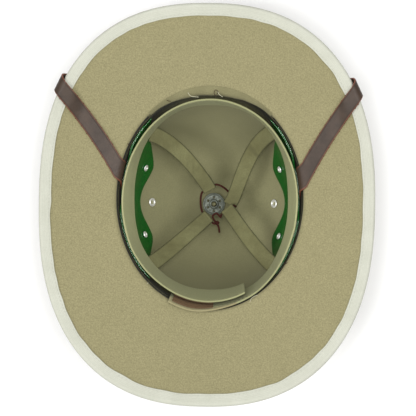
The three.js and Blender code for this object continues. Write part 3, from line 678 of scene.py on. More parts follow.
class Finish(Enum):
    """Finishes of the helmet's pieces."""

    BRIM = ClothFinish("khaki cloth", KHAKI, (0.282, 0.256, 0.139), on_uv=False, slubs=0.75)
    COVER = ClothFinish("khaki cover", KHAKI, (0.286, 0.260, 0.142), seams=6, slubs=0.4)
    # Pith wall, coloured near black as painted shade for the gap at the mouth.
    PITH = ClothFinish("bare pith", (0.022, 0.021, 0.012), (0.034, 0.032, 0.018), on_uv=False)
    # The lining is painted with shade: darker round the axis, nearly black behind the sweatband, and darker
    # towards front and back.
    LINING = ClothFinish(
        "khaki lining", (0.300, 0.288, 0.156), (0.282, 0.270, 0.145),
        slubs=0.45, painted_axis_shade=0.58, painted_gap_shade=0.06, painted_end_shade=0.66,
    )
    FOLD = ClothFinish("lining's raw edge", (0.222, 0.206, 0.110), (0.185, 0.171, 0.090), slubs=0.4)
    # The sweatband is painted darker towards front and back, as shade.
    BAND = ClothFinish("khaki sweatband", (0.368, 0.373, 0.196), (0.340, 0.345, 0.180), slubs=0.4, painted_end_shade=0.78)
    FLAP = ClothFinish("khaki band end", (0.300, 0.270, 0.150), (0.27, 0.240, 0.130), slubs=0.4)
    PUGGAREE = ClothFinish("khaki folds", KHAKI, (0.290, 0.264, 0.145), pitch=0.8 * MM, slubs=0.4)
    # The webbing's edge width paints a shadow along both edges of each strap.
    STRAP = ClothFinish(
        "khaki webbing", (0.178, 0.174, 0.084), (0.118, 0.111, 0.050),
        pitch=0.6 * MM, slubs=0.6, painted_edge_shadow_width=16 * MM,
    )
    TAPE = ClothFinish(
        "off-white tape", (0.470, 0.476, 0.405), (0.430, 0.436, 0.366), pitch=0.6 * MM, ribbed=True,
    )
    LEATHER = LeatherFinish(
        "strap leather", (0.028, 0.017, 0.010), (0.050, 0.031, 0.020), (0.14, 0.045, 0.025), 15 * MM,
    )
    VINYL = SheetPlasticFinish("green vinyl", (0.002, 0.086, 0.007), (0.004, 0.115, 0.012))
    PLATE = MetalFinish("grey pressed metal", (0.155, 0.172, 0.141), (0.078, 0.088, 0.070), 0.5, 0.3)
    RIVET = MetalFinish("bright rivet", (0.93, 0.93, 0.90), (0.70, 0.70, 0.66), 0.34, 0.6)
    BRASS = MetalFinish("dull brass", (0.13, 0.125, 0.055), (0.07, 0.065, 0.03), 0.45, 0.5)
    CAP = MetalFinish("khaki paint", KHAKI, (0.22, 0.20, 0.11), 0.5, 0.0)
    CORD = TwistFinish("dark cord", (0.018, 0.005, 0.003), (0.060, 0.014, 0.010), 1.6 * MM)
    THREAD = TwistFinish("pale thread", (0.40, 0.39, 0.27), (0.52, 0.50, 0.36), 0.8 * MM)
    DARK_THREAD = TwistFinish("brown thread", (0.030, 0.016, 0.010), (0.07, 0.04, 0.025), 0.8 * MM)
    NAP = NapFinish("red-brown tape", (0.105, 0.062, 0.032), (0.150, 0.098, 0.055))
    FLOOR = PlainFinish("studio floor", (0.93, 0.93, 0.93))

    @property
    def made(self) -> bpy.types.Material:
        """The finish's material, built once."""
        return bpy.data.materials.get(self.value.name) or self.value.material()


# Making of pieces


def as_object(bm: bmesh.types.BMesh, name: str, finish: Finish, outward: bool = True) -> Piece:
    """Turns a bmesh into an object with smooth faces.

    Args:
        bm: the finished bmesh, which is freed.
        name: the piece's name.
        finish: its finish.
        outward: turns the faces outwards.

    Returns:
        The new object.
    """
    if outward:
        bmesh.ops.recalc_face_normals(bm, faces=bm.faces)
    for face in bm.faces:
        face.smooth = True
    mesh = bpy.data.meshes.new(name)
    bm.to_mesh(mesh)
    bm.free()
    mesh.materials.append(finish.made)
    made = bpy.data.objects.new(name, mesh)
    bpy.context.scene.collection.objects.link(made)
    return made


def settle(piece: Piece, nodes: Sequence[str] = ()) -> Piece:
    """Puts a piece on the body and hides the CAD nodes that it stands for.

    Args:
        piece: the new piece.
        nodes: CAD nodes that the piece replaces.

    Returns:
        The piece.
    """
    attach(piece, BODY)
    if nodes:
        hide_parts(*nodes)
    LOG.info("%s: %d faces", piece.name, len(piece.data.polygons))
    return piece


def bevel(piece: Piece, width: float, segments: int, limit: float) -> None:
    """Rounds the edges that turn by more than a limit.

    Args:
        piece: the piece.
        width: the rounding's width.
        segments: faces in the rounding.
        limit: angle past which an edge is rounded.
    """
    edge = piece.modifiers.new("edge", "BEVEL")
    edge.width = width
    edge.segments = segments
    edge.limit_method = "ANGLE"
    edge.angle_limit = limit


def thicken(piece: Piece, thickness: float, rounding: float = 0.4, segments: int = 2) -> None:
    """Gives a sheet its wall, with rounded edges.

    Args:
        piece: the sheet.
        thickness: its wall.
        rounding: share of half the wall that is rounded off.
        segments: faces in the rounding.
    """
    wall = piece.modifiers.new("wall", "SOLIDIFY")
    wall.thickness = thickness
    wall.offset = 0
    bevel(piece, thickness / 2 * rounding, segments, 60 * DEGREE)


def laid_sheet(name: str, steps: tuple[int, int], size: Span, place: Place, finish: Finish) -> Piece:
    """Lays a flat grid of cloth into place; edges that meet are joined.

    Args:
        name: the piece's name.
        steps: faces along and across.
        size: length and width in metres, for the UV map.
        place: gives the point for shares 0 to 1 along and across.
        finish: the piece's finish.

    Returns:
        The sheet, still without a wall.
    """
    bm = bmesh.new()
    uv = bm.loops.layers.uv.new("cloth")
    bmesh.ops.create_grid(bm, x_segments=steps[0], y_segments=steps[1], size=0.5)
    for face in bm.faces:
        for loop in face.loops:
            loop[uv].uv = ((loop.vert.co.x + 0.5) * size[0], (loop.vert.co.y + 0.5) * size[1])
    for vert in bm.verts:
        vert.co = place(vert.co.x + 0.5, vert.co.y + 0.5)
    bmesh.ops.remove_doubles(bm, verts=bm.verts, dist=1e-6)
    return as_object(bm, name, finish)


def spun(name: str, profile: Sequence[Span], seat: Matrix, finish: Finish, steps: int = 48) -> Piece:
    """Turns a profile round its axis and seats it.

    Args:
        name: the piece's name.
        profile: points of radius and height, in metres; the first and last close the piece.
        seat: where the axis stands.
        finish: the piece's finish.
        steps: faces round the piece.

    Returns:
        The turned piece.
    """
    bm = bmesh.new()
    verts = [bm.verts.new((radius, 0, height)) for radius, height in profile]
    edges = [bm.edges.new(pair) for pair in zip(verts, verts[1:])]
    around_z = {"axis": (0, 0, 1), "cent": (0, 0, 0), "angle": TURN, "use_merge": True}
    bmesh.ops.spin(bm, geom=verts + edges, steps=steps, **around_z)
    bmesh.ops.remove_doubles(bm, verts=bm.verts, dist=1e-6)
    bmesh.ops.transform(bm, matrix=seat, verts=bm.verts)
    made = as_object(bm, name, finish)
    bevel(made, 0.25 * MM, 2, 35 * DEGREE)
    return made


def smooth_line(points: Sequence[Vector], count: int) -> list[Vector]:
    """Evenly spread points on a centripetal curve through some points.

    Args:
        points: the points passed through.
        count: how many points to give.

    Returns:
        The points of the smooth line.
    """
    padded = [points[0] * 2 - points[1], *points, points[-1] * 2 - points[-2]]
    fine: list[Vector] = []
    for a, b, c, d in zip(padded, padded[1:], padded[2:], padded[3:]):
        k1 = (b - a).length ** 0.5
        k2 = k1 + (c - b).length ** 0.5
        k3 = k2 + (d - c).length ** 0.5
        for i in range(16):
            t = mix(k1, k2, i / 16)
            inside = (t - k1) / (k2 - k1)
            ab, bc, cd = a.lerp(b, t / k1), b.lerp(c, inside), c.lerp(d, (t - k2) / (k3 - k2))
            abc, bcd = ab.lerp(bc, t / k2), bc.lerp(cd, (t - k1) / (k3 - k1))
            fine.append(abc.lerp(bcd, inside))
    fine.append(points[-1].copy())
    return evenly(fine, count)


def evenly(line: Sequence[Vector], count: int) -> list[Vector]:
    """Points spread evenly along a line of points.

    Args:
        line: the line's points.
        count: how many points to give.

    Returns:
        The evenly spread points.
    """
    lengths = [0.0]
    for start, end in zip(line, line[1:]):
        lengths.append(lengths[-1] + (end - start).length)
    spread: list[Vector] = []
    k = 0
    for i in range(count):
        goal = lengths[-1] * i / (count - 1)
        while k < len(line) - 2 and lengths[k + 1] < goal:
            k += 1
        span = max(lengths[k + 1] - lengths[k], 1e-9)
        spread.append(line[k].lerp(line[k + 1], (goal - lengths[k]) / span))
    return spread


def line_length(line: Sequence[Vector]) -> float:
    """Length of a line of points."""
    return sum((end - start).length for start, end in zip(line, line[1:]))


def swept(name: str, line: Sequence[Vector], radius: float, finish: Finish, sides: int = 10) -> Piece:
    """Round cord along a line, its ends closed.

    Args:
        name: the piece's name.
        line: points of the middle line, close together.
        radius: the cord's radius.
        finish: the piece's finish.
        sides: faces round the cord.

    Returns:
        The cord.
    """
    frames: list[Matrix] = []
    across = (line[1] - line[0]).normalized().orthogonal().normalized()
    for i, point in enumerate(line):
        way = (line[min(i + 1, len(line) - 1)] - line[max(i - 1, 0)]).normalized()
        across = (across - way * across.dot(way)).normalized()
        frames.append(Matrix((across, way.cross(across), way)).transposed().to_4x4())
        frames[-1].translation = point
    last = len(line) - 1

    def place(along: float, turn: float) -> Vector:
        """Point on the cord's skin."""
        angle = TURN * turn
        return frames[round(along * last)] @ Vector((radius * math.cos(angle), radius * math.sin(angle), 0))

    made = laid_sheet(name, (last, sides), (line_length(line), 1.0), place, finish)
    bm = bmesh.new()
    bm.from_mesh(made.data)
    bmesh.ops.holes_fill(bm, edges=[e for e in bm.edges if e.is_boundary], sides=0)
    bmesh.ops.recalc_face_normals(bm, faces=bm.faces)
    bm.to_mesh(made.data)
    bm.free()
    return made


@dataclass(frozen=True)
class StitchRow:
    """Row of stitches that lie on a seam."""

    length: float = 2.4 * MM
    gap: float = 1.3 * MM
    thickness: float = 0.55 * MM

    def made(self, name: str, lines: Sequence[Seam], finish: Finish) -> Piece:
        """Sews along lines.

        Args:
            name: the piece's name.
            lines: rows of points with the surface's normal at each.
            finish: the thread's finish.

        Returns:
            All stitches as one piece.
        """
        bm = bmesh.new()
        for line in lines:
            points = [point for point, _ in line]
            count = max(round(line_length(points) / (self.length + self.gap)), 1)
            for i in range(count):
                at = (i + 0.5) / count * (len(line) - 1)
                k = min(int(at), len(line) - 2)
                point = points[k].lerp(points[k + 1], at - k)
                way = (points[k + 1] - points[k]).normalized()
                up = (line[k][1] - way * line[k][1].dot(way)).normalized()
                turn = Matrix((way, up.cross(way), up)).transposed().to_4x4()
                size = Matrix.Diagonal((self.length / 2, self.thickness / 2, self.thickness / 2, 1))
                matrix = Matrix.Translation(point) @ turn @ size @ Matrix.Rotation(math.pi / 2, 4, "Y")
                bmesh.ops.create_uvsphere(bm, u_segments=6, v_segments=4, radius=1, matrix=matrix)
        return as_object(bm, name, finish)


@dataclass(frozen=True)
class StrayThread:
    """Loose thread: points of x and y in millimetres and of height over the mouth."""

    finish: Finish
    points: tuple[tuple[float, float, float], ...]
    radius: float = 0.28 * MM


STRAYS = (
    StrayThread(Finish.THREAD, ((-23, 109.5, 1.5), (-20, 104.6, 2.2), (-12, 103.3, 1.6)), 0.32 * MM),
    StrayThread(Finish.DARK_THREAD, (
        (4.8, 104, 0.5), (3.2, 107.5, 1.8), (4.2, 110.2, 2.2), (5.8, 110, 2.2), (6.4, 106.5, 1),
    )),
    StrayThread(Finish.THREAD, ((6.4, 108.5, 2), (8.2, 106, 1.6), (11.6, 103.6, 1.4))),
    StrayThread(Finish.DARK_THREAD, ((-43.5, 100.5, 2.5), (-41.5, 99.4, 2.8), (-39, 98.8, 1.5))),
    StrayThread(Finish.DARK_THREAD, ((-80.5, 57.5, 3), (-79, 56.8, 3.4), (-77.5, 55.6, 2))),
    StrayThread(Finish.DARK_THREAD, ((56, 91.5, 3), (58, 91, 3.2), (59.5, 92.2, 4))),
    StrayThread(Finish.DARK_THREAD, ((73.5, -57.5, 2), (75, -56.2, 2.8), (77, -55.8, 3.4))),
    StrayThread(Finish.THREAD, ((-58.5, -77, 2.4), (-60, -78.6, 3.4), (-61.5, -81, 4))),
    StrayThread(Finish.THREAD, ((40, -95.5, 4), (41.5, -91, 3.4), (44.5, -88.6, 3), (47.5, -87.4, 3.4))),
)


# Sub-assemblies


@dataclass
class Body:
    """Shell with its lining, edge binding and pleated band."""

    round_steps: int = 192
    lining_top: float = 6 * MM
    lining_hole: float = 15 * MM
    cloth_runs_on: float = 86 * MM
    fold_reach: float = 5.6 * MM
    fold_drop: float = 6 * MM
    fold_half_angle: float = 36 * DEGREE
    binding_width: float = 9.3 * MM
    binding_thickness: float = 1 * MM
    band_top: float = 5 * MM
    band_width: float = 34 * MM
    band_standoff: float = 0.6 * MM
    band_thickness: float = 1.6 * MM
    pleats: int = 3
    pleat_depth: float = 1 * MM

    def shell(self) -> Piece:
        """Crown and brim in their khaki cover.

        Returns:
            The shell.
        """

        def place(along: float, up: float) -> Vector:
            """Point of the shell's middle surface."""
            share = 3 * up
            return FORM.middle(TURN * along, share)

        made = laid_sheet("helmet_shell", (self.round_steps, 72), (0.62, 0.3), place, Finish.PITH)
        for finish in (Finish.BRIM, Finish.COVER, Finish.BRIM):
            made.data.materials.append(finish.made)
        # Crown faces on the hollow side take the near-black pith, painted shade for the gap at the mouth; outside
        # they take the khaki cover, and the front by the fold and the brim keep the khaki cloth.
        for face in made.data.polygons:
            over = face.center.z - FORM.mouth_height
            at_front = face.center.y > self.cloth_runs_on and over > -self.lining_top
            face.material_index = int(at_front or over > FORM.mouth_bend * 0.25)
        thicken(made, FORM.wall)
        made.modifiers["wall"].material_offset = 2
        return settle(made, ["shell"])

    def lining(self) -> Piece:
        """Cloth laid inside the crown, a little uneven.

        Returns:
            The lining.
        """
        low = FORM.share_at_radius(self.lining_hole / 2)
        high = FORM.share_at_depth(self.lining_top)
        layer = FORM.face + FORM.clearance + FORM.lining_thickness / 2

        def place(along: float, up: float) -> Vector:
            """Point of the lining, a little uneven."""
            angle = TURN * along
            share = mix(low, high, up)
            free = ease(up, 0.04, 0.2) * (1 - ease(up, 0.8, 1.0))
            uneven = abs(ripple(FORM.middle(angle, share), 30 * MM, 0.5 * MM)) * free
            return FORM.on(angle, share, layer + uneven)

        made = laid_sheet("lining_cloth", (self.round_steps, 60), (0.62, 0.18), place, Finish.LINING)
        thicken(made, FORM.lining_thickness, 0.8)
        return settle(made, ["crown_lining"])

    def lining_fold(self) -> Piece:
        """Cloth turned in over the mouth's edge at the front, its raw edge hanging loose in the gap.

        Returns:
            The fold.
        """

        def place(along: float, down: float) -> Vector:
            """Point of the fold: from the mouth's bend in towards the sweatband, then down."""
            angle = math.pi / 2 + mix(-self.fold_half_angle, self.fold_half_angle, along)
            full = ease(along, 0.0, 0.4) * (1 - ease(along, 0.6, 1.0))
            mouth = FORM.middle(angle, 1)
            reach = mix(0.6 * MM, self.fold_reach, full) + ripple(mouth, 12 * MM, 1.1 * MM) * full
            start = FORM.on(angle, 1.7, FORM.face + 0.3 * MM)
            drop = mix(1.2 * MM, self.fold_drop, full)
            over = FORM.on(angle, 1, FORM.face + 0.4 * MM + reach * 0.3) + Vector((0, 0, 1.0 * MM))
            hang = FORM.on(angle, 1, FORM.face + 0.4 * MM + reach) - Vector((0, 0, 0.6 * MM))
            edge = FORM.on(angle, 1, FORM.face + 0.6 * MM + reach) - Vector((0, 0, drop))
            first, last = start.lerp(over, down), hang.lerp(edge, down)
            middle = over.lerp(hang, down)
            return first.lerp(middle, down).lerp(middle.lerp(last, down), down)

        made = laid_sheet("lining_fold", (140, 14), (0.14, 0.012), place, Finish.FOLD)
        thicken(made, 0.4 * MM, 0.8)
        return settle(made)

    def stray_threads(self) -> list[Piece]:
        """Loose ends of thread over the gap at the mouth.

        Returns:
            The threads.
        """
        made = []
        for i, stray in enumerate(STRAYS):
            points = [Vector((x, y, FORM.mouth_height / MM + up)) * MM for x, y, up in stray.points]
            line = smooth_line(points, 12 * len(points))
            thread = swept(f"stray_thread_{i + 1}", line, stray.radius, stray.finish, 6)
            made.append(settle(thread))
        return made

    def binding_layer(self, around_edge: float) -> tuple[float, float]:
        """Distance in from the edge and layer, at a share from the hollow side round to the upper side.

        Args:
            around_edge: share of the way across the tape.

        Returns:
            The distance and the layer.
        """
        layer = FORM.face + FORM.clearance + self.binding_thickness / 2
        flat = self.binding_width
        turn = math.pi * layer
        run = around_edge * (2 * flat + turn)
        if run < flat:
            return flat - run, layer
        if run > flat + turn:
            return run - flat - turn, -layer
        angle = (run - flat) / layer
        return -layer * 0.62 * math.sin(angle), layer * math.cos(angle)

    def binding(self) -> Piece:
        """Off-white tape folded over the brim's edge.

        Returns:
            The tape.
        """

        def place(along: float, around_edge: float) -> Vector:
            """Point of the tape's middle surface."""
            angle = TURN * along
            inward, layer = self.binding_layer(around_edge)
            at_edge = FORM.middle(angle, 3)
            free = ease(inward, 2 * MM, self.binding_width)
            inward += ripple(at_edge, 14 * MM, 0.8 * MM) * free
            swell = abs(ripple(at_edge * 1.7, 9 * MM, 0.25 * MM)) * free
            return FORM.on(angle, FORM.share_from_edge(angle, inward), layer + math.copysign(swell, layer))

        made = laid_sheet("binding_tape", (360, 28), (1.12, 0.026), place, Finish.TAPE)
        thicken(made, self.binding_thickness * 0.8, 0.9)
        return settle(made, ["brim_binding"])

    def binding_stitches(self) -> Piece:
        """Stitches that hold the tape, on both sides of the brim.

        Returns:
            The stitches.
        """
        layer = FORM.face + FORM.clearance + self.binding_thickness
        lines = []
        for side in (1, -1):
            line = []
            for i in range(541):
                angle = TURN * i / 540
                share = FORM.share_from_edge(angle, self.binding_width * 0.78)
                line.append((FORM.on(angle, share, side * layer), FORM.normal(angle, share) * side))
            lines.append(line)
        made = StitchRow(thickness=0.4 * MM).made("binding_stitches", lines, Finish.TAPE)
        return settle(made)

    def puggaree(self) -> Piece:
        """Pleated cloth band round the outside of the crown.

        Returns:
            The band.
        """
        foot = FORM.face + self.band_standoff

        def place(along: float, down: float) -> Vector:
            """Point of the band's outer face."""
            angle = TURN * along
            depth = self.band_top + self.band_width * down
            pleat = (down * self.pleats) % 1.0 if down < 1 else 1.0
            lift = mix(0.0, self.pleat_depth, ease(pleat, 0.0, 0.92) * (1 - ease(pleat, 0.94, 1.0) * 0.9))
            layer = foot + self.band_thickness * 0.6 + lift
            uneven = ripple(FORM.middle(angle, FORM.share_at_depth(depth)), 25 * MM, 0.5 * MM)
            return FORM.on(angle, FORM.share_at_depth(depth + uneven), -layer)

        made = laid_sheet("folded_hat_band", (self.round_steps, 60), (0.62, 0.05), place, Finish.PUGGAREE)
        thicken(made, self.band_thickness * 0.7, 0.8)
        return settle(made, ["hat_band"])

    def build(self) -> list[Piece]:
        """Builds the body's pieces."""
        cloth = [self.shell(), self.lining(), self.lining_fold(), self.binding(), self.binding_stitches()]
        return [*cloth, self.puggaree(), *self.stray_threads()]


@dataclass
class Ventilation:
    """Ventilator through the top of the crown and the two side eyelets."""

    cap_radius: float = 19 * MM
    cap_flat: float = 15 * MM
    cap_height: float = 6.2 * MM
    cap_wall: float = 1.5 * MM
    plate_radius: float = 11.5 * MM
    plate_foot: float = 14.1 * MM
    plate_wall: float = 1.2 * MM
    plate_rim: float = 1.2 * MM
    boss_radius: float = 4.2 * MM
    boss_height: float = 1.6 * MM
    stem_radius: float = 2.6 * MM
    hole_radius: float = 1.2 * MM
    hole_circle: float = 6.9 * MM
    holes: int = 6
    eyelet_radius: float = 4.5 * MM
    eyelet_bore: float = 2.2 * MM
    eyelet_depth: float = 89 * MM
    eyelet_standoff: float = 1.4 * MM

    def cap(self) -> Piece:
        """Domed cap outside the crown, its flat on the floor.

        Returns:
            The cap.
        """
        rim, flat, height, wall = self.cap_radius, self.cap_flat, self.cap_height, self.cap_wall
        profile = [(0, 0), (flat, 0), (mix(flat, rim, 0.75), height * 0.2), (rim, height * 0.55), (rim, height)]
        profile += [(rim - wall, height), (rim - wall, height * 0.6), (flat, wall), (0, wall)]
        made = spun("ventilator_cap", profile, Matrix.Identity(4), Finish.CAP, 72)
        return settle(made, ["vent_cap"])

    def plate(self) -> Piece:
        """Dished plate with a raised rim, a boss and its holes.

        Returns:
            The plate.
        """
        foot = self.plate_foot
        top = foot + self.plate_wall
        eye = self.stem_radius + FORM.clearance
        rim = self.plate_radius
        lip = self.plate_rim
        profile = [(eye, foot), (rim, foot), (rim, top + lip * 0.6), (rim - 0.5 * MM, top + lip)]
        profile += [(rim - 1.2 * MM, top + lip * 0.8), (rim - 2 * MM, top + 0.1 * MM), (rim - 2.6 * MM, top)]
        boss, boss_top = self.boss_radius, top + self.boss_height
        profile += [(boss + 0.9 * MM, top), (boss + 0.4 * MM, top + self.boss_height * 0.5)]
        profile += [(boss, boss_top), (eye, boss_top), (eye, foot)]
        made = spun("ventilator_plate", profile, Matrix.Identity(4), Finish.PLATE, 72)
        cutter = self.drills(foot - 2 * MM, top + 4 * MM)
        cut = made.modifiers.new("holes", "BOOLEAN")
        cut.operation = "DIFFERENCE"
        cut.solver = "EXACT"
        cut.object = cutter
        bpy.context.view_layer.update()
        shaped = bpy.data.meshes.new_from_object(made.evaluated_get(bpy.context.evaluated_depsgraph_get()))
        made.modifiers.clear()
        made.data = shaped
        bpy.data.objects.remove(cutter)
        return settle(made, ["vent_plate"])

    def drills(self, low: float, high: float) -> Piece:
        """Round bars where the plate's holes are.

        Args:
            low: height of their feet.
            high: height of their tops.

        Returns:
            The bars as one piece.
        """
        bm = bmesh.new()
        for i in range(self.holes):
            angle = (i + 0.5) * TURN / self.holes
            at = around(Vector((0, 0)), angle, self.hole_circle, (low + high) / 2)
            bmesh.ops.create_cone(
                bm, cap_ends=True, segments=16, radius1=self.hole_radius, radius2=self.hole_radius,
                depth=high - low, matrix=Matrix.Translation(at),
            )
        return as_object(bm, "plate_drills", Finish.PLATE)

    def stem(self) -> Piece:
        """Stem that joins cap and plate, its end brassy in the boss.

        Returns:
            The stem.
        """
        top = self.plate_foot + self.plate_wall + self.boss_height
        foot = self.cap_wall + FORM.clearance
        shank = self.stem_radius
        profile = [(0, foot), (5 * MM, foot), (5 * MM, foot + 1.5 * MM), (shank, foot + 1.5 * MM), (shank, top)]
        profile += [(shank * 0.75, top + 0.4 * MM), (shank * 0.35, top + 0.5 * MM), (0, top + 0.5 * MM)]
        made = spun("ventilator_stem", profile, Matrix.Identity(4), Finish.BRASS, 40)
        return settle(made, ["vent_stem"])

    def eyelet(self, side: Side) -> Piece:
        """Rolled eyelet in one side of the crown.

        Args:
            side: the side it is in.

        Returns:
            The eyelet.
        """
        share = FORM.share_at_depth(self.eyelet_depth)
        foot = FORM.lining_face + self.eyelet_standoff
        bore, rim = self.eyelet_bore, self.eyelet_radius
        tube = bore + 0.7 * MM
        profile = [(bore, -FORM.face), (tube, -FORM.face), (tube, foot), (rim, foot), (rim, foot + 0.3 * MM)]
        profile += [(rim - 0.6 * MM, foot + 0.8 * MM), (tube + 0.2 * MM, foot + 0.9 * MM)]
        profile += [(bore + 0.2 * MM, foot + 0.5 * MM), (bore, foot), (bore, -FORM.face)]
        made = spun(f"rolled_eyelet_{side.word}", profile, FORM.seat(side.value, share), Finish.RIVET, 36)
        return settle(made, [f"eyelet_{side.word}"])

    def build(self) -> list[Piece]:
        """Builds the ventilation's pieces."""
        return [self.cap(), self.plate(), self.stem(), *(self.eyelet(side) for side in Side)]


@dataclass(frozen=True)
class RivetShape:
    """Rivet set in the shell, its head domed with a dimple."""

    head_radius: float = 3.3 * MM
    head_height: float = 1.1 * MM
    shank_radius: float = 1.3 * MM
    reach: float = 2 * MM

    def made(self, name: str, angle: float, depth: float, head_foot: float) -> Piece:
        """Sets one rivet.

        Args:
            name: the piece's name.
            angle: its place round the crown.
            depth: its place below the mouth.
            head_foot: layer of the head's underside.

        Returns:
            The rivet.
        """
        low = FORM.face - self.reach
        head, shank = self.head_radius, self.shank_radius
        dome = ((1, 0), (1, 0.25), (0.85, 0.66), (0.5, 1), (0.34, 1), (0.26, 0.3), (0, 0.2))
        profile = [(0, low), (shank, low), (shank, head_foot)]
        profile += [(head * out, head_foot + self.head_height * up) for out, up in dome]
        return spun(name, profile, FORM.seat(angle, FORM.share_at_depth(depth)), Finish.RIVET, 32)


@dataclass
class Headband:
    """Sweatband with its patches, the vinyl backings and their rivets."""

    height: float = 38 * MM
    thickness: float = 2 * MM
    rim_above_mouth: float = 1 * MM
    rim_length: float = 199 * MM
    rim_width: float = 170 * MM
    rim_forward: float = 1.9 * MM
    deep_length: float = 188 * MM
    deep_width: float = 154.6 * MM
    deep_forward: float = 5.4 * MM
    overlap: float = 64 * MM
    rim_fullness: float = 2.0
    deep_fullness: float = 2.25
    flap_rise: float = 7.5 * MM
    flap_reach: float = 3 * MM
    flap_height: float = 7 * MM
    flap_start: float = -24 * DEGREE
    flap_full: float = 12 * DEGREE
    ease_angle: float = 62 * DEGREE
    patch_room: float = 0.6 * MM + 1 * MM + 0.25 * MM
    patch_length: float = 34 * MM
    patch_height: float = 24 * MM
    patch_top: float = 2.2 * MM
    patch_aside: float = 13 * MM
    patch_thickness: float = 1 * MM
    patch_standoff: float = 0.35 * MM
    vinyl_thickness: float = 1 * MM
    vinyl_standoff: float = 1.5 * MM
    vinyl_band_gap: float = 0.8 * MM
    leaves_band: float = 26 * MM
    meets_lining: float = 56 * MM
    vinyl_top: float = 4 * MM
    vinyl_top_by_strap: float = 7 * MM
    hem_radius: float = 0.5 * MM
    flare_standoff: float = 1.7 * MM
    flare_depth: float = 20 * MM
    strap_angles: tuple[float, float] = (167.5 * DEGREE, 8.4 * DEGREE)
    clear_of_strap: float = 13 * DEGREE
    flare_angle: float = 9 * DEGREE
    top_half_angle: float = 53 * DEGREE
    foot_half_angle: float = 42 * DEGREE
    tip_depth: float = 60 * MM
    lobe_depth: float = 81 * MM
    waist_depth: float = 71 * MM
    lobe_place: float = 0.66
    rivet_angle: float = 26 * DEGREE
    rivet_depth: float = 69 * MM
    rivet_standoff: float = 0.8 * MM

    @property
    def rim_height(self) -> float:
        """Height of the band's rim."""
        return FORM.mouth_height + self.rim_above_mouth

    @property
    def deep_height(self) -> float:
        """Height of the band's deep edge."""
        return self.rim_height - self.height

    @property
    def overlap_half_angle(self) -> float:
        """Half the overlap, as an angle."""
        return math.asin(self.overlap / self.rim_width)

    def band_middle(self, turn: float, deep: float) -> Vector:
        """Middle of the band at a turn from the middle of the back and a share of its height.

        Args:
            turn: angle round the band from the middle of the back.
            deep: share of the band's height, from its rim.

        Returns:
            The point.
        """
        flap = ease(turn, TURN + self.flap_start, TURN + self.flap_full)
        level = deep - self.flap_rise * flap / self.height
        half_width = mix(self.rim_width, self.deep_width, level) / 2
        half_length = mix(self.rim_length, self.deep_length, level) / 2
        fullness = mix(self.rim_fullness, self.deep_fullness, level)
        centre = Vector((0, mix(self.rim_forward, self.deep_forward, level)))
        turned_out = self.flap_reach * max(1 - deep * self.height / self.flap_height, 0.0)
        offset = (self.thickness / 2 + self.patch_room) * self.end_share(turn) + turned_out * flap**3
        angle = -math.pi / 2 - turn
        radius = plan_radius(angle, half_width, half_length, fullness) + offset
        return around(centre, angle, radius, self.rim_height - self.height * level)

    def end_share(self, turn: float) -> float:
        """-1 at the band's inner end, 1 at its outer end, easing to 0 between.

        Args:
            turn: angle round the band from the middle of the back.

        Returns:
            The share.
        """
        near_start = 1 - ease(turn, self.overlap_half_angle, self.ease_angle)
        near_end = ease(turn, TURN - self.ease_angle, TURN - self.overlap_half_angle)
        return near_end - near_start

    def away_from_strap(self, angle: float) -> float:
        """0 where the chin strap lies behind the vinyl, 1 away from it."""
        aside = min(abs((angle - at + math.pi) % (TURN) - math.pi) for at in self.strap_angles)
        return ease(aside, self.clear_of_strap, self.clear_of_strap + self.flare_angle)

    def on_band(self, turn: float, deep: float, layer: float) -> Vector:
        """Point over the band's middle, layer outwards.

        Args:
            turn: angle round the band from the middle of the back.
            deep: share of the band's height, from its rim.
            layer: distance out from the middle.

        Returns:
            The point.
        """
        step = SMALL_STEP
        along = self.band_middle(turn + step, deep) - self.band_middle(turn - step, deep)
        down = self.band_middle(turn, deep + step) - self.band_middle(turn, deep - step)
        return self.band_middle(turn, deep) + along.cross(down).normalized() * layer

    def sweatband(self) -> Piece:
        """Folded cloth strip, its ends overlapping at the back.

        Returns:
            The band.
        """
        half = self.overlap_half_angle
        total = TURN + 2 * half

        def place(along: float, deep: float) -> Vector:
            """Point of the band's middle, a little uneven between its ends."""
            turn = mix(-half, total - half, along)
            free = ease(turn, half, self.ease_angle) * (1 - ease(turn, TURN - self.ease_angle, TURN - half))
            middle = self.band_middle(turn, deep)
            return self.on_band(turn, deep, -abs(ripple(middle, 34 * MM, 0.7 * MM)) * free)

        made = laid_sheet("folded_sweatband", (320, 18), (0.63, self.height), place, Finish.BAND)
        made.data.materials.append(Finish.FLAP.made)
        for face in made.data.polygons:
            face.material_index = int(face.center.z > self.rim_height)
        thicken(made, self.thickness * 0.92, 0.95, 4)
        return settle(made, ["sweatband"])

    def band_stitches(self) -> Piece:
        """Stitches along the band's two edges, on the head side.

        Returns:
            The stitches.
        """
        lines = []
        for deep in (0.09, 0.9):
            line = []
            for i in range(301):
                turn = mix(-self.overlap_half_angle, TURN + self.overlap_half_angle * 0.98, i / 300)
                foot = self.on_band(turn, deep, 0)
                inward = (self.on_band(turn, deep, -1 * MM) - foot).normalized()
                line.append((self.on_band(turn, deep, -self.thickness / 2 - 0.05 * MM), inward))
            lines.append(line)
        made = StitchRow(thickness=0.4 * MM).made("sweatband_stitches", lines, Finish.BAND)
        return settle(made)

    def foot_depth(self, aside: float) -> float:
        """Depth of the vinyl's foot, aside from -1 to 1.

        Args:
            aside: place across the sheet, from -1 to 1.

        Returns:
            The depth.
        """
        place = abs(aside)
        if place > self.lobe_place:
            fall = (place - self.lobe_place) / (1 - self.lobe_place)
            return mix(self.lobe_depth, self.tip_depth, fall**2)
        return mix(self.waist_depth, self.lobe_depth, (1 - math.cos(math.pi * place / self.lobe_place)) / 2)

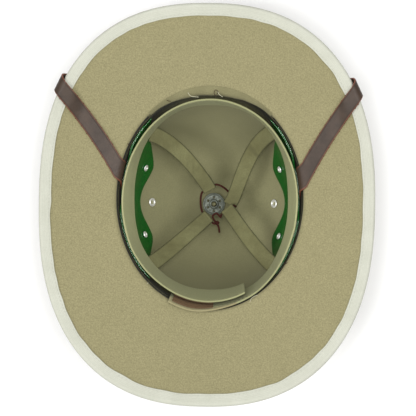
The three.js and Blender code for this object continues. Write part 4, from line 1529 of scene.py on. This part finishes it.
    def backing(self, side: Side) -> Piece:
        """Vinyl sheet that hugs the band at its top and lies on the lining at its foot.

        Args:
            side: the side it is on.

        Returns:
            The sheet.
        """
        lobe_layer = FORM.lining_face + self.vinyl_standoff + self.vinyl_thickness / 2
        top_layer = FORM.lining_face + self.flare_standoff + self.vinyl_thickness / 2
        off_band = (self.thickness + self.vinyl_thickness) / 2 + self.vinyl_band_gap

        def place(along: float, down: float) -> Vector:
            """Point of the sheet's middle."""
            aside = mix(-1, 1, along)
            angle = side.value + aside * mix(self.top_half_angle, self.foot_half_angle, down)
            away = self.away_from_strap(angle)
            depth = mix(mix(self.vinyl_top_by_strap, self.vinyl_top, away), self.foot_depth(aside), down)
            turn = (-math.pi / 2 - angle) % (TURN)
            share = FORM.share_at_depth(depth)
            by_band = self.on_band(turn, (depth + self.rim_above_mouth) / self.height, off_band)
            room = away * (1 - max(self.end_share(turn), 0.0))
            flare = room * (1 - ease(depth, self.vinyl_top, self.flare_depth))
            upper = by_band.lerp(FORM.on(angle, share, top_layer), flare)
            lower = FORM.on(angle, share, lobe_layer)
            return upper.lerp(lower, ease(depth, self.leaves_band, self.meets_lining))

        made = laid_sheet(f"vinyl_backing_{side.word}", (96, 32), (0.16, 0.08), place, Finish.VINYL)
        thicken(made, self.vinyl_thickness * 0.9, 0.9)
        outward = Vector((math.cos(side.value), 0, 0)) * self.hem_radius * 2
        turned = [place(i / 120, 0.01) + outward for i in range(6, 115)]
        hem = swept(f"vinyl_hem_{side.word}", evenly(turned, 160), self.hem_radius, Finish.VINYL)
        settle(hem)
        return settle(made, [f"backing_{side.word}"])

    def rivets(self) -> list[Piece]:
        """Rivets in the vinyl's lobes.

        Returns:
            The rivets.
        """
        head_foot = FORM.lining_face + self.vinyl_standoff + self.vinyl_thickness + self.rivet_standoff
        made = []
        for side in Side:
            for word, hand in (("front", side.forward), ("back", -side.forward)):
                angle = side.value + hand * self.rivet_angle
                rivet = RivetShape().made(f"lobe_rivet_{side.word}_{word}", angle, self.rivet_depth, head_foot)
                made.append(settle(rivet, [f"backing_rivet_{side.word}_{word}"]))
        return made

    def patch(self, name: str, node: str, laps: int, face: int) -> Piece:
        """Hook or loop patch on one face of the band near an end.

        Args:
            name: the piece's name.
            node: the CAD node that it stands for.
            laps: 0 at the band's inner end, 1 at its outer end.
            face: 1 outside, -1 inside.

        Returns:
            The patch.
        """
        half = self.patch_length / self.rim_width
        middle = laps * TURN + 2 * self.patch_aside / self.rim_width
        layer = face * ((self.thickness + self.patch_thickness) / 2 + self.patch_standoff)

        def place(along: float, down: float) -> Vector:
            """Point of the patch's middle."""
            deep = (self.patch_top + self.patch_height * down) / self.height
            return self.on_band(middle + mix(-half, half, along), deep, layer)

        made = laid_sheet(name, (60, 30), (self.patch_length, self.patch_height), place, Finish.NAP)
        thicken(made, self.patch_thickness * 0.9, 0.8)
        return settle(made, [node])

    def patches(self) -> list[Piece]:
        """The hook patch on the outer end and the loop patch on the inner end."""
        rows = (("loop_patch", 0, 1), ("hook_patch", 1, -1))
        return [self.patch(f"soft_{node}", node, laps, face) for node, laps, face in rows]

    def build(self) -> list[Piece]:
        """Builds the headband's pieces."""
        band = [self.sweatband(), self.band_stitches(), *self.patches()]
        return [*band, *(self.backing(side) for side in Side), *self.rivets()]


@dataclass(frozen=True)
class StrapRoute:
    """Plan of one suspension strap, as shares of the band's deep half width and half length."""

    name: str
    outer: tuple[float, float]
    leaving: tuple[float, float]
    entering: tuple[float, float]
    fold: tuple[float, float]
    lift: float = 0.0
    kink: float = 0.0

    def points(self, band: Headband) -> list[Vector]:
        """The four control points in the plan.

        Args:
            band: the band that the strap hangs from.

        Returns:
            The points.
        """
        shares = (self.outer, self.leaving, self.entering, self.fold)
        half_width, half_length = band.deep_width / 2, band.deep_length / 2
        return [Vector((a * half_width, band.deep_forward + f * half_length)) for a, f in shares]


@dataclass
class HeadNet:
    """Four cloth straps drawn together over the head by a cord."""

    band: Headband = field(default_factory=Headband)
    outer_width: float = 16 * MM
    inner_width: float = 14 * MM
    thickness: float = 1 * MM
    depth: float = 78.4 * MM
    drop: float = 2 * MM
    arch: float = 2 * MM
    fold_return: float = 13 * MM
    cord_radius: float = 0.8 * MM
    cord_fullness: float = 1.25
    cord_enters: float = 9 * MM
    room_in_fold: float = 0.6 * MM
    cord_beyond_fold: float = 1.4 * MM
    cord_hidden: float = 0.76
    routes: tuple[StrapRoute, ...] = (
        StrapRoute("left_front", (-0.77, 0.675), (-0.45, 0.6), (-0.14, 0.24), (-0.05, 0.11)),
        StrapRoute(
            "right_front", (0.763, 0.705), (0.445, 0.565), (0.36, 0.12), (0.235, -0.045), -3.5 * MM, 0.24,
        ),
        StrapRoute("right_back", (0.782, -0.683), (0.505, -0.483), (0.31, -0.22), (0.2, -0.115), 4.5 * MM),
        StrapRoute("left_back", (-0.748, -0.692), (-0.53, -0.563), (-0.272, -0.36), (-0.066, -0.2)),
    )

    @property
    def height(self) -> float:
        """Height of the net's middle."""
        return FORM.mouth_height - self.depth

    @property
    def fold_radius(self) -> float:
        """Radius of a strap's fold round the cord."""
        return self.cord_radius + self.room_in_fold + self.thickness / 2

    def plan(self, route: StrapRoute) -> tuple[list[Vector], float]:
        """Evenly spread plan points of a strap, and its length in the plan.

        Args:
            route: the strap's plan.

        Returns:
            The points and the length.
        """
        a, b, c, d = route.points(self.band)
        fine = []
        for i in range(257):
            t = i / 256
            fine.append(a * (1 - t) ** 3 + b * 3 * t * (1 - t) ** 2 + c * 3 * t**2 * (1 - t) + d * t**3)
        flat = evenly([point.to_3d() for point in fine], 129)
        return [point.xy for point in flat], line_length(flat)

    def profile(self, route: StrapRoute, run: float) -> list[Vector]:
        """Distance along the plan and height, from under the band's edge round the fold and back.

        Args:
            route: the strap's plan.
            run: the strap's length in the plan.

        Returns:
            The profile's points.
        """
        start = self.band.deep_height - FORM.clearance - self.thickness / 2
        centre = self.height + route.lift
        line = [Vector((-1.5 * MM, start, 0))]
        for i in range(41):
            share = i / 40
            arch = self.arch * math.sin(math.pi * share) - self.drop * math.sin(TURN * share)
            line.append(Vector((run * share, mix(start, centre + self.fold_radius, share) + arch, 0)))
        for i in range(1, 13):
            turn = math.pi / 2 - math.pi * i / 12
            fold = Vector((math.cos(turn), math.sin(turn), 0)) * self.fold_radius
            line.append(Vector((run, centre, 0)) + fold)
        line.append(Vector((run - self.fold_return, centre - self.fold_radius, 0)))
        return evenly(line, 161)

    def strap(self, route: StrapRoute) -> Piece:
        """One strap, gently bowed and a little uneven.

        Args:
            route: the strap's plan.

        Returns:
            The strap.
        """
        plan, run = self.plan(route)
        profile = self.profile(route, run)
        last = len(profile) - 1

        def place(along: float, across: float) -> Vector:
            """Point of the strap's middle."""
            at = profile[round(along * last)]
            share = min(max(at.x / run, 0.0), 1.0)
            k = min(int(share * 128), 127)
            foot = plan[k].lerp(plan[k + 1], share * 128 - k)
            heading = (plan[min(k + 2, 128)] - plan[max(k - 1, 0)]).normalized()
            foot = foot + heading * (at.x - run * share)
            half_width = mix(self.outer_width, self.inner_width, share) / 2
            side = Vector((-heading.y, heading.x)) * mix(-half_width, half_width, across)
            bow = self.bow(route, along, across)
            return Vector((foot.x + side.x, foot.y + side.y, at.y + bow))

        size = (line_length(profile), self.outer_width)
        made = laid_sheet(f"webbing_strap_{route.name}", (last, 12), size, place, Finish.STRAP)
        thicken(made, self.thickness * 0.9, 0.9)
        return settle(made, [f"suspension_strap_{route.name}"])

    def bow(self, route: StrapRoute, along: float, across: float) -> float:
        """Height of a strap's own unevenness: its edges turned up or down.

        Args:
            route: the strap's plan.
            along: share of its length.
            across: share of its width.

        Returns:
            The height.
        """
        free = ease(along, 0.04, 0.16) * (1 - ease(along, 0.58, 0.7))
        seed = len(route.name) * 1.7 + route.lift * 900
        slow = noise.noise(Vector((along * 3.1, across * 0.9, seed))) * 0.9 * MM
        wrinkle = noise.noise(Vector((along * 17 + across * 2.4, across * 1.8, seed + 5))) * 0.75 * MM
        crease = 0.0
        if route.kink:
            away = (along - route.kink - (across - 0.5) * 0.05) / 0.028
            crease = (1.8 * math.exp(-away * away) - 1.2 * math.exp(-(away - 1.8) ** 2)) * MM
        return (slow + wrinkle + crease + (2 * across - 1) ** 2 * 0.4 * MM) * free

    def cord_line(self) -> list[Vector]:
        """The drawstring's middle line: tail, knot, four folds and the small bow.

        Returns:
            The line's points.
        """
        ends = {}
        for route in self.routes:
            plan, _ = self.plan(route)
            heading = (plan[-1] - plan[-4]).normalized()
            ends[route.name] = (plan[-1], Vector((-heading.y, heading.x)), self.height + route.lift, heading)
        reach = self.inner_width / 2 + self.cord_beyond_fold
        width = self.inner_width
        tail = ((0.51, -2.07, -0.25), (0.46, -1.71, -0.11), (0.33, -1.47, -0.03))
        small_bow = ((0.61, -0.96, 0.39), (0.31, -0.67, 0.5), (0.03, -0.86, 0.47), (0.24, -1.36, 0.17))
        points = [Vector((x * width, y * width, self.height + up * width)) for x, y, up in tail]
        for name in ("left_back", "left_front", "right_front", "right_back"):
            end, side, height, heading = ends[name]
            back = heading * (-self.cord_enters if name == "right_front" else 0.0)
            first = reach * (self.cord_hidden if name == "right_back" else 1)
            last = reach * (self.cord_hidden if name == "right_front" else 1)
            for aside, drawn in ((-first, 1.0), (0.0, 0.2), (last, 0.0)):
                points.append((end + side * aside + back * drawn).to_3d() + Vector((0, 0, height)))
        points += [Vector((x * width, y * width, self.height + up * width)) for x, y, up in small_bow]
        return smooth_line(points, 360)

    def drawstring(self) -> list[Piece]:
        """Cord with its knot.

        Returns:
            Cord and knot.
        """
        line = self.cord_line()
        LOG.info("drawstring length %.4f m", line_length(line))
        cord = swept("twisted_drawstring", line, self.cord_radius * self.cord_fullness, Finish.CORD)
        centre = Vector((5.0 * MM, -19.0 * MM, self.height + 1.4 * MM))
        loops = []
        for i in range(97):
            turn = TURN * i / 96
            radius = (2 + math.cos(3 * turn)) * 0.5 * MM
            height = math.sin(3 * turn) * 0.9 * MM
            loops.append(centre + Vector((radius * math.cos(2 * turn), radius * math.sin(2 * turn), height)))
        knot = swept("drawstring_knot", loops, self.cord_radius * 0.9, Finish.CORD)
        return [settle(cord, ["drawstring"]), settle(knot)]

    def build(self) -> list[Piece]:
        """Builds the net's pieces."""
        return [*(self.strap(route) for route in self.routes), *self.drawstring()]


@dataclass(frozen=True)
class ChinHalf:
    """One half of the chin strap: where it crosses the mouth and the brim's edge."""

    side: Side
    mouth_angle: float
    edge_angle: float
    hand: int


@dataclass
class ChinStrap:
    """Leather strap, riveted in the gap, round the brim's edge and across in front of the crown."""

    width: float = 15 * MM
    thickness: float = 1.8 * MM
    standoff: float = 0.8 * MM
    wrap_radius: float = 5 * MM
    end_depth: float = 22 * MM
    rivet_depth: float = 14 * MM
    front_gap: float = 20.6 * MM
    edge_reach: float = 15 * MM
    bow_angle: float = 7 * DEGREE
    drift_angle: float = 9 * DEGREE
    binding_width: float = 9.3 * MM
    stretches: tuple[float, float, float] = (0.16, 0.42, 0.78)
    up_to_bend: float = 0.72
    pull_share: float = 0.45
    settles_in: float = 18 * MM
    steps_along: int = 160
    steps_across: int = 8
    halves: tuple[ChinHalf, ...] = (
        ChinHalf(Side.LEFT, 163 * DEGREE, 141 * DEGREE, 1),
        ChinHalf(Side.RIGHT, 12.9 * DEGREE, 38 * DEGREE, -1),
    )

    @property
    def on_brim(self) -> float:
        """Layer of the strap's middle where it lies on the brim."""
        return FORM.face + FORM.clearance + self.thickness / 2

    @property
    def front(self) -> Vector:
        """Where the halves meet in front of the crown, in the plan."""
        return Vector((0, FORM.mouth_forward + FORM.mouth_length / 2 + FORM.wall + self.front_gap))

    def over_brim(self, point: Vector, side: int) -> Vector:
        """Point over a plan point of the brim, on the hollow side (1) or the upper side (-1).

        Args:
            point: the plan point.
            side: 1 or -1.

        Returns:
            The point.
        """
        angle, share = FORM.brim_place(point)
        from_edge = (3 - share) * (FORM.edge_radius(angle) - FORM.mouth_radius(angle))
        settled = ease(from_edge, self.binding_width, self.binding_width + self.settles_in)
        layer = mix(self.wrap_radius, self.on_brim, settled)
        return FORM.on(angle, share, side * layer)

    def route(self, half: ChinHalf) -> dict:
        """The half's frame at the edge and the control points of its plan curves.

        Args:
            half: the half.

        Returns:
            The frame and the curves, by name.
        """
        edge = FORM.middle(half.edge_angle, 3)
        ahead = FORM.middle(half.edge_angle + SMALL_STEP, 3) - edge
        tangent = ahead.xy.normalized()
        inward = Vector((-tangent.y, tangent.x))
        mouth = FORM.middle(half.mouth_angle, 1).xy
        straight = (mouth - edge.xy).normalized()
        inside = mouth + straight * (self.width / 2)
        turn = half.hand * self.bow_angle
        heading = Vector((
            straight.x * math.cos(turn) - straight.y * math.sin(turn),
            straight.x * math.sin(turn) + straight.y * math.cos(turn),
        ))
        along_edge, across_edge = heading.dot(tangent), heading.dot(inward)
        quarter = self.wrap_radius * math.pi / 2

        def start(side: int) -> Vector:
            """Plan point where the strap leaves the edge on one side of the brim."""
            aside = tangent * (side * self.edge_reach * along_edge)
            return edge.xy + aside + inward * (self.edge_reach * across_edge - quarter)

        reflected = inward * across_edge - tangent * along_edge
        under, upper = start(1), start(-1)
        upper_pull = (upper - self.front).length * self.pull_share
        before_front = self.front + Vector((-half.hand * upper_pull, 0))
        return {
            "half": half, "at": edge.xy, "tangent": tangent, "inward": inward, "heading": heading,
            "under": [under, under + heading * ((under - inside).length / 2), inside],
            "upper": [upper, upper + reflected * upper_pull, before_front, self.front],
        }

    @staticmethod
    def bezier(points: Sequence[Vector], share: float) -> tuple[Vector, Vector]:
        """Point and unit tangent of a Bezier curve.

        Args:
            points: the curve's control points.
            share: place along it, 0 to 1.

        Returns:
            The point and the tangent.
        """
        layer = list(points)
        while len(layer) > 2:
            layer = [a.lerp(b, share) for a, b in zip(layer, layer[1:])]
        return layer[0].lerp(layer[1], share), (layer[1] - layer[0]).normalized()

    @staticmethod
    def sideways(vector: Vector, hand: int) -> Vector:
        """Vector a quarter turn aside."""
        return Vector((-vector.y * hand, vector.x * hand))

    def round_edge(self, route: dict, distance: float, aside: float) -> Vector:
        """Point round the edge, distance along the middle line towards the hollow side if positive.

        Args:
            route: the half's frame and curves.
            distance: distance from the edge.
            aside: distance from the strap's middle line.

        Returns:
            The point.
        """
        step = route["heading"] * distance + self.sideways(route["heading"], route["half"].hand) * aside
        across_edge = step.dot(route["inward"])
        quarter = self.wrap_radius * math.pi / 2
        foot = route["at"] + route["tangent"] * step.dot(route["tangent"])
        if abs(across_edge) > quarter:
            foot = foot + route["inward"] * (abs(across_edge) - quarter)
            return self.over_brim(foot, 1 if across_edge > 0 else -1)
        angle, share = FORM.brim_place(foot)
        middle = FORM.middle(angle, share)
        outward = (FORM.middle(angle, share + SMALL_STEP) - middle).normalized()
        turn = across_edge / self.wrap_radius
        radius = self.wrap_radius
        upward = FORM.normal(angle, share)
        return middle + outward * (radius * math.cos(turn)) + upward * (radius * math.sin(turn))

    def plan_under(self, route: dict, share: float, aside: float) -> Vector:
        """Plan point of one line of the strap on the hollow side."""
        point, way = self.bezier(route["under"], share)
        return point + self.sideways(way, route["half"].hand) * aside

    def at_mouth(self, route: dict, aside: float) -> tuple[float, float]:
        """Share and angle where one line of the strap goes over the mouth's bend.

        Args:
            route: the half's frame and curves.
            aside: distance from the strap's middle line.

        Returns:
            The share and the angle.
        """
        near, far = 0.0, 1.0
        for _ in range(24):
            share = (near + far) / 2
            if FORM.brim_place(self.plan_under(route, share, aside))[1] > 2:
                near = share
            else:
                far = share
        return near, FORM.brim_place(self.plan_under(route, near, aside))[0]

    def point(self, route: dict, along: float, aside: float, mouth: tuple[float, float]) -> Vector:
        """Point of the strap's middle, along from its end in the gap (0) to the middle of the front (1).

        Args:
            route: the half's frame and curves.
            along: share of the half's length.
            aside: distance from the strap's middle line.
            mouth: share and angle where this line crosses the mouth.

        Returns:
            The point.
        """
        gap, brim, edge = self.stretches
        hand = route["half"].hand
        if along > edge:
            at, way = self.bezier(route["upper"], (along - edge) / (1 - edge))
            return self.over_brim(at + self.sideways(way, -hand) * -aside, -1)
        if along > brim:
            distance = mix(self.edge_reach, -self.edge_reach, (along - brim) / (edge - brim))
            return self.round_edge(route, distance, aside)
        if along > gap:
            share = mouth[0] * (1 - (along - gap) / (brim - gap))
            return self.over_brim(self.plan_under(route, share, aside), 1)
        up = along / gap
        in_crown = mix(FORM.share_at_depth(self.end_depth), 1, up / self.up_to_bend)
        share = in_crown if up < self.up_to_bend else 1 + (up - self.up_to_bend) / (1 - self.up_to_bend)
        drift = hand * self.drift_angle * (1 - up)
        in_gap = FORM.lining_face + self.standoff + self.thickness / 2
        return FORM.on(mouth[1] + drift, share, mix(in_gap, self.on_brim, ease(share, 1, 2)))

    def rows(self) -> list[list[Vector]]:
        """Lines of the strap's middle surface, evenly spread, one for each step across.

        Returns:
            The lines.
        """
        routes = [self.route(half) for half in self.halves]
        lines = []
        last = self.steps_along
        for step in range(self.steps_across + 1):
            aside = mix(-self.width / 2, self.width / 2, step / self.steps_across)
            mouths = [self.at_mouth(route, aside) for route in routes]
            fine = [self.point(routes[0], i / last, aside, mouths[0]) for i in range(last + 1)]
            fine += [self.point(routes[1], 1 - i / last, aside, mouths[1]) for i in range(1, last + 1)]
            lines.append(fine)
        return lines

    def strap(self) -> Piece:
        """The strap, its middle surface through the rows.

        Returns:
            The strap.
        """
        lines = self.rows()
        last = len(lines[0]) - 1

        def place(along: float, across: float) -> Vector:
            """Point of the strap's middle."""
            return lines[round(across * self.steps_across)][round(along * last)]

        length = line_length(lines[self.steps_across // 2])
        LOG.info("chin strap length %.4f m", length)
        steps = (last, self.steps_across)
        made = laid_sheet("leather_chin_strap", steps, (length, self.width), place, Finish.LEATHER)
        thicken(made, self.thickness * 0.9, 0.7, 3)
        return settle(made, ["chin_strap"])

    def thread_ends(self) -> Piece:
        """Dark bits of thread left along the strap's edges on the hollow side of the brim.

        Returns:
            The threads.
        """
        lines = self.rows()
        last = len(lines[0]) - 1
        edges = []
        for line in (lines[0], lines[-1]):
            for stretch in (range(30, 72), range(last - 72, last - 30)):
                edges.append([(line[i], FORM.normal(*FORM.brim_place(line[i]))) for i in stretch])
        ends = StitchRow(length=1.3 * MM, gap=7.5 * MM, thickness=0.9 * MM)
        made = ends.made("thread_ends", edges, Finish.DARK_THREAD)
        return settle(made)

    def rivets(self) -> list[Piece]:
        """Rivets that hold the strap's ends.

        Returns:
            The rivets.
        """
        made = []
        face = FORM.lining_face + self.standoff + self.thickness
        for half in self.halves:
            route = self.route(half)
            end = FORM.share_at_depth(self.end_depth)
            up = self.up_to_bend * (FORM.share_at_depth(self.rivet_depth) - end) / (1 - end)
            angle = self.at_mouth(route, 0.0)[1] + half.hand * self.drift_angle * (1 - up)
            word = half.side.word
            rivet = RivetShape().made(f"strap_rivet_{word}", angle, self.rivet_depth, face + FORM.clearance)
            made.append(settle(rivet, [f"chin_rivet_{word}"]))
        return made

    def build(self) -> list[Piece]:
        """Builds the chin strap's pieces."""
        return [self.strap(), self.thread_ends(), *self.rivets()]


@dataclass(frozen=True)
class SoftLight:
    """Square light: where it stands, its side and its share of the key's power."""

    name: str
    at: tuple[float, float, float]
    side: float
    share: float


@dataclass
class Studio:
    """Camera over the hollow, soft light and a pale floor."""

    picture: int = 416
    focal_pixels: float = 1446.3
    sensor: float = 36.0
    eye: tuple[float, float, float] = (57 * MM, 0.0, 1526.4 * MM)
    aim: tuple[float, float, float] = (-1.5 * MM, -3.9 * MM, 126.4 * MM)
    roll: float = 0.7 * DEGREE
    key_power: float = 17.0
    fill_power: float = 0.75
    soft_lights: tuple[SoftLight, ...] = (
        SoftLight("key", (-1.0, -0.45, 1.7), 0.8, 1.0),
        SoftLight("side", (0.8, -0.1, 1.8), 0.9, 0.75),
        SoftLight("low", (0.03, 0.03, 0.95), 0.12, 0.16),
    )

    def camera(self) -> None:
        """Makes the camera at the photograph's angle."""
        data = bpy.data.cameras.new("camera")
        data.sensor_width = self.sensor
        data.lens = self.focal_pixels * self.sensor / self.picture
        data.clip_start = 0.05
        data.clip_end = 50
        camera = bpy.data.objects.new("camera", data)
        back = (Vector(self.eye) - Vector(self.aim)).normalized()
        up = Vector((-math.sin(self.roll), math.cos(self.roll), 0))
        right = up.cross(back).normalized()
        turn = Matrix((right, back.cross(right), back)).transposed().to_4x4()
        camera.matrix_world = Matrix.Translation(Vector(self.eye)) @ turn
        bpy.context.scene.collection.objects.link(camera)
        bpy.context.scene.camera = camera

    def light(self, row: SoftLight) -> None:
        """Adds one soft light, turned to the hollow.

        Args:
            row: the light's row.
        """
        data = bpy.data.lights.new(row.name, "AREA")
        data.size = row.side
        data.energy = self.key_power * row.share
        made = bpy.data.objects.new(row.name, data)
        made.location = row.at
        made.rotation_mode = "QUATERNION"
        made.rotation_quaternion = (Vector(row.at) - Vector((0, 0, 0.1))).to_track_quat("Z", "Y")
        bpy.context.scene.collection.objects.link(made)

    def lights(self) -> None:
        """Soft key from above and an even surround."""
        for row in self.soft_lights:
            self.light(row)
        world = bpy.data.worlds.new("surround")
        world.use_nodes = True
        background = next(n for n in world.node_tree.nodes if n.type == "BACKGROUND")
        background.inputs["Color"].default_value = (1, 1, 1, 1)
        background.inputs["Strength"].default_value = self.fill_power
        bpy.context.scene.world = world

    def floor(self) -> None:
        """Pale floor under the part."""
        bm = bmesh.new()
        bmesh.ops.create_grid(bm, x_segments=1, y_segments=1, size=6)
        as_object(bm, "floor", Finish.FLOOR, outward=False)

    def build(self) -> None:
        """Builds the studio."""
        self.camera()
        self.lights()
        self.floor()
        bpy.context.scene.view_settings.view_transform = "Standard"


def main() -> None:
    """Builds the studio and the helmet, in order."""
    logging.basicConfig(level=logging.INFO, format="%(name)s %(message)s")
    Studio().build()
    for assembly in (Body(), Ventilation(), Headband(), HeadNet(), ChinStrap()):
        pieces = assembly.build()
        LOG.info("%s: %d pieces", type(assembly).__name__, len(pieces))


if __name__ == "__main__":
    main()
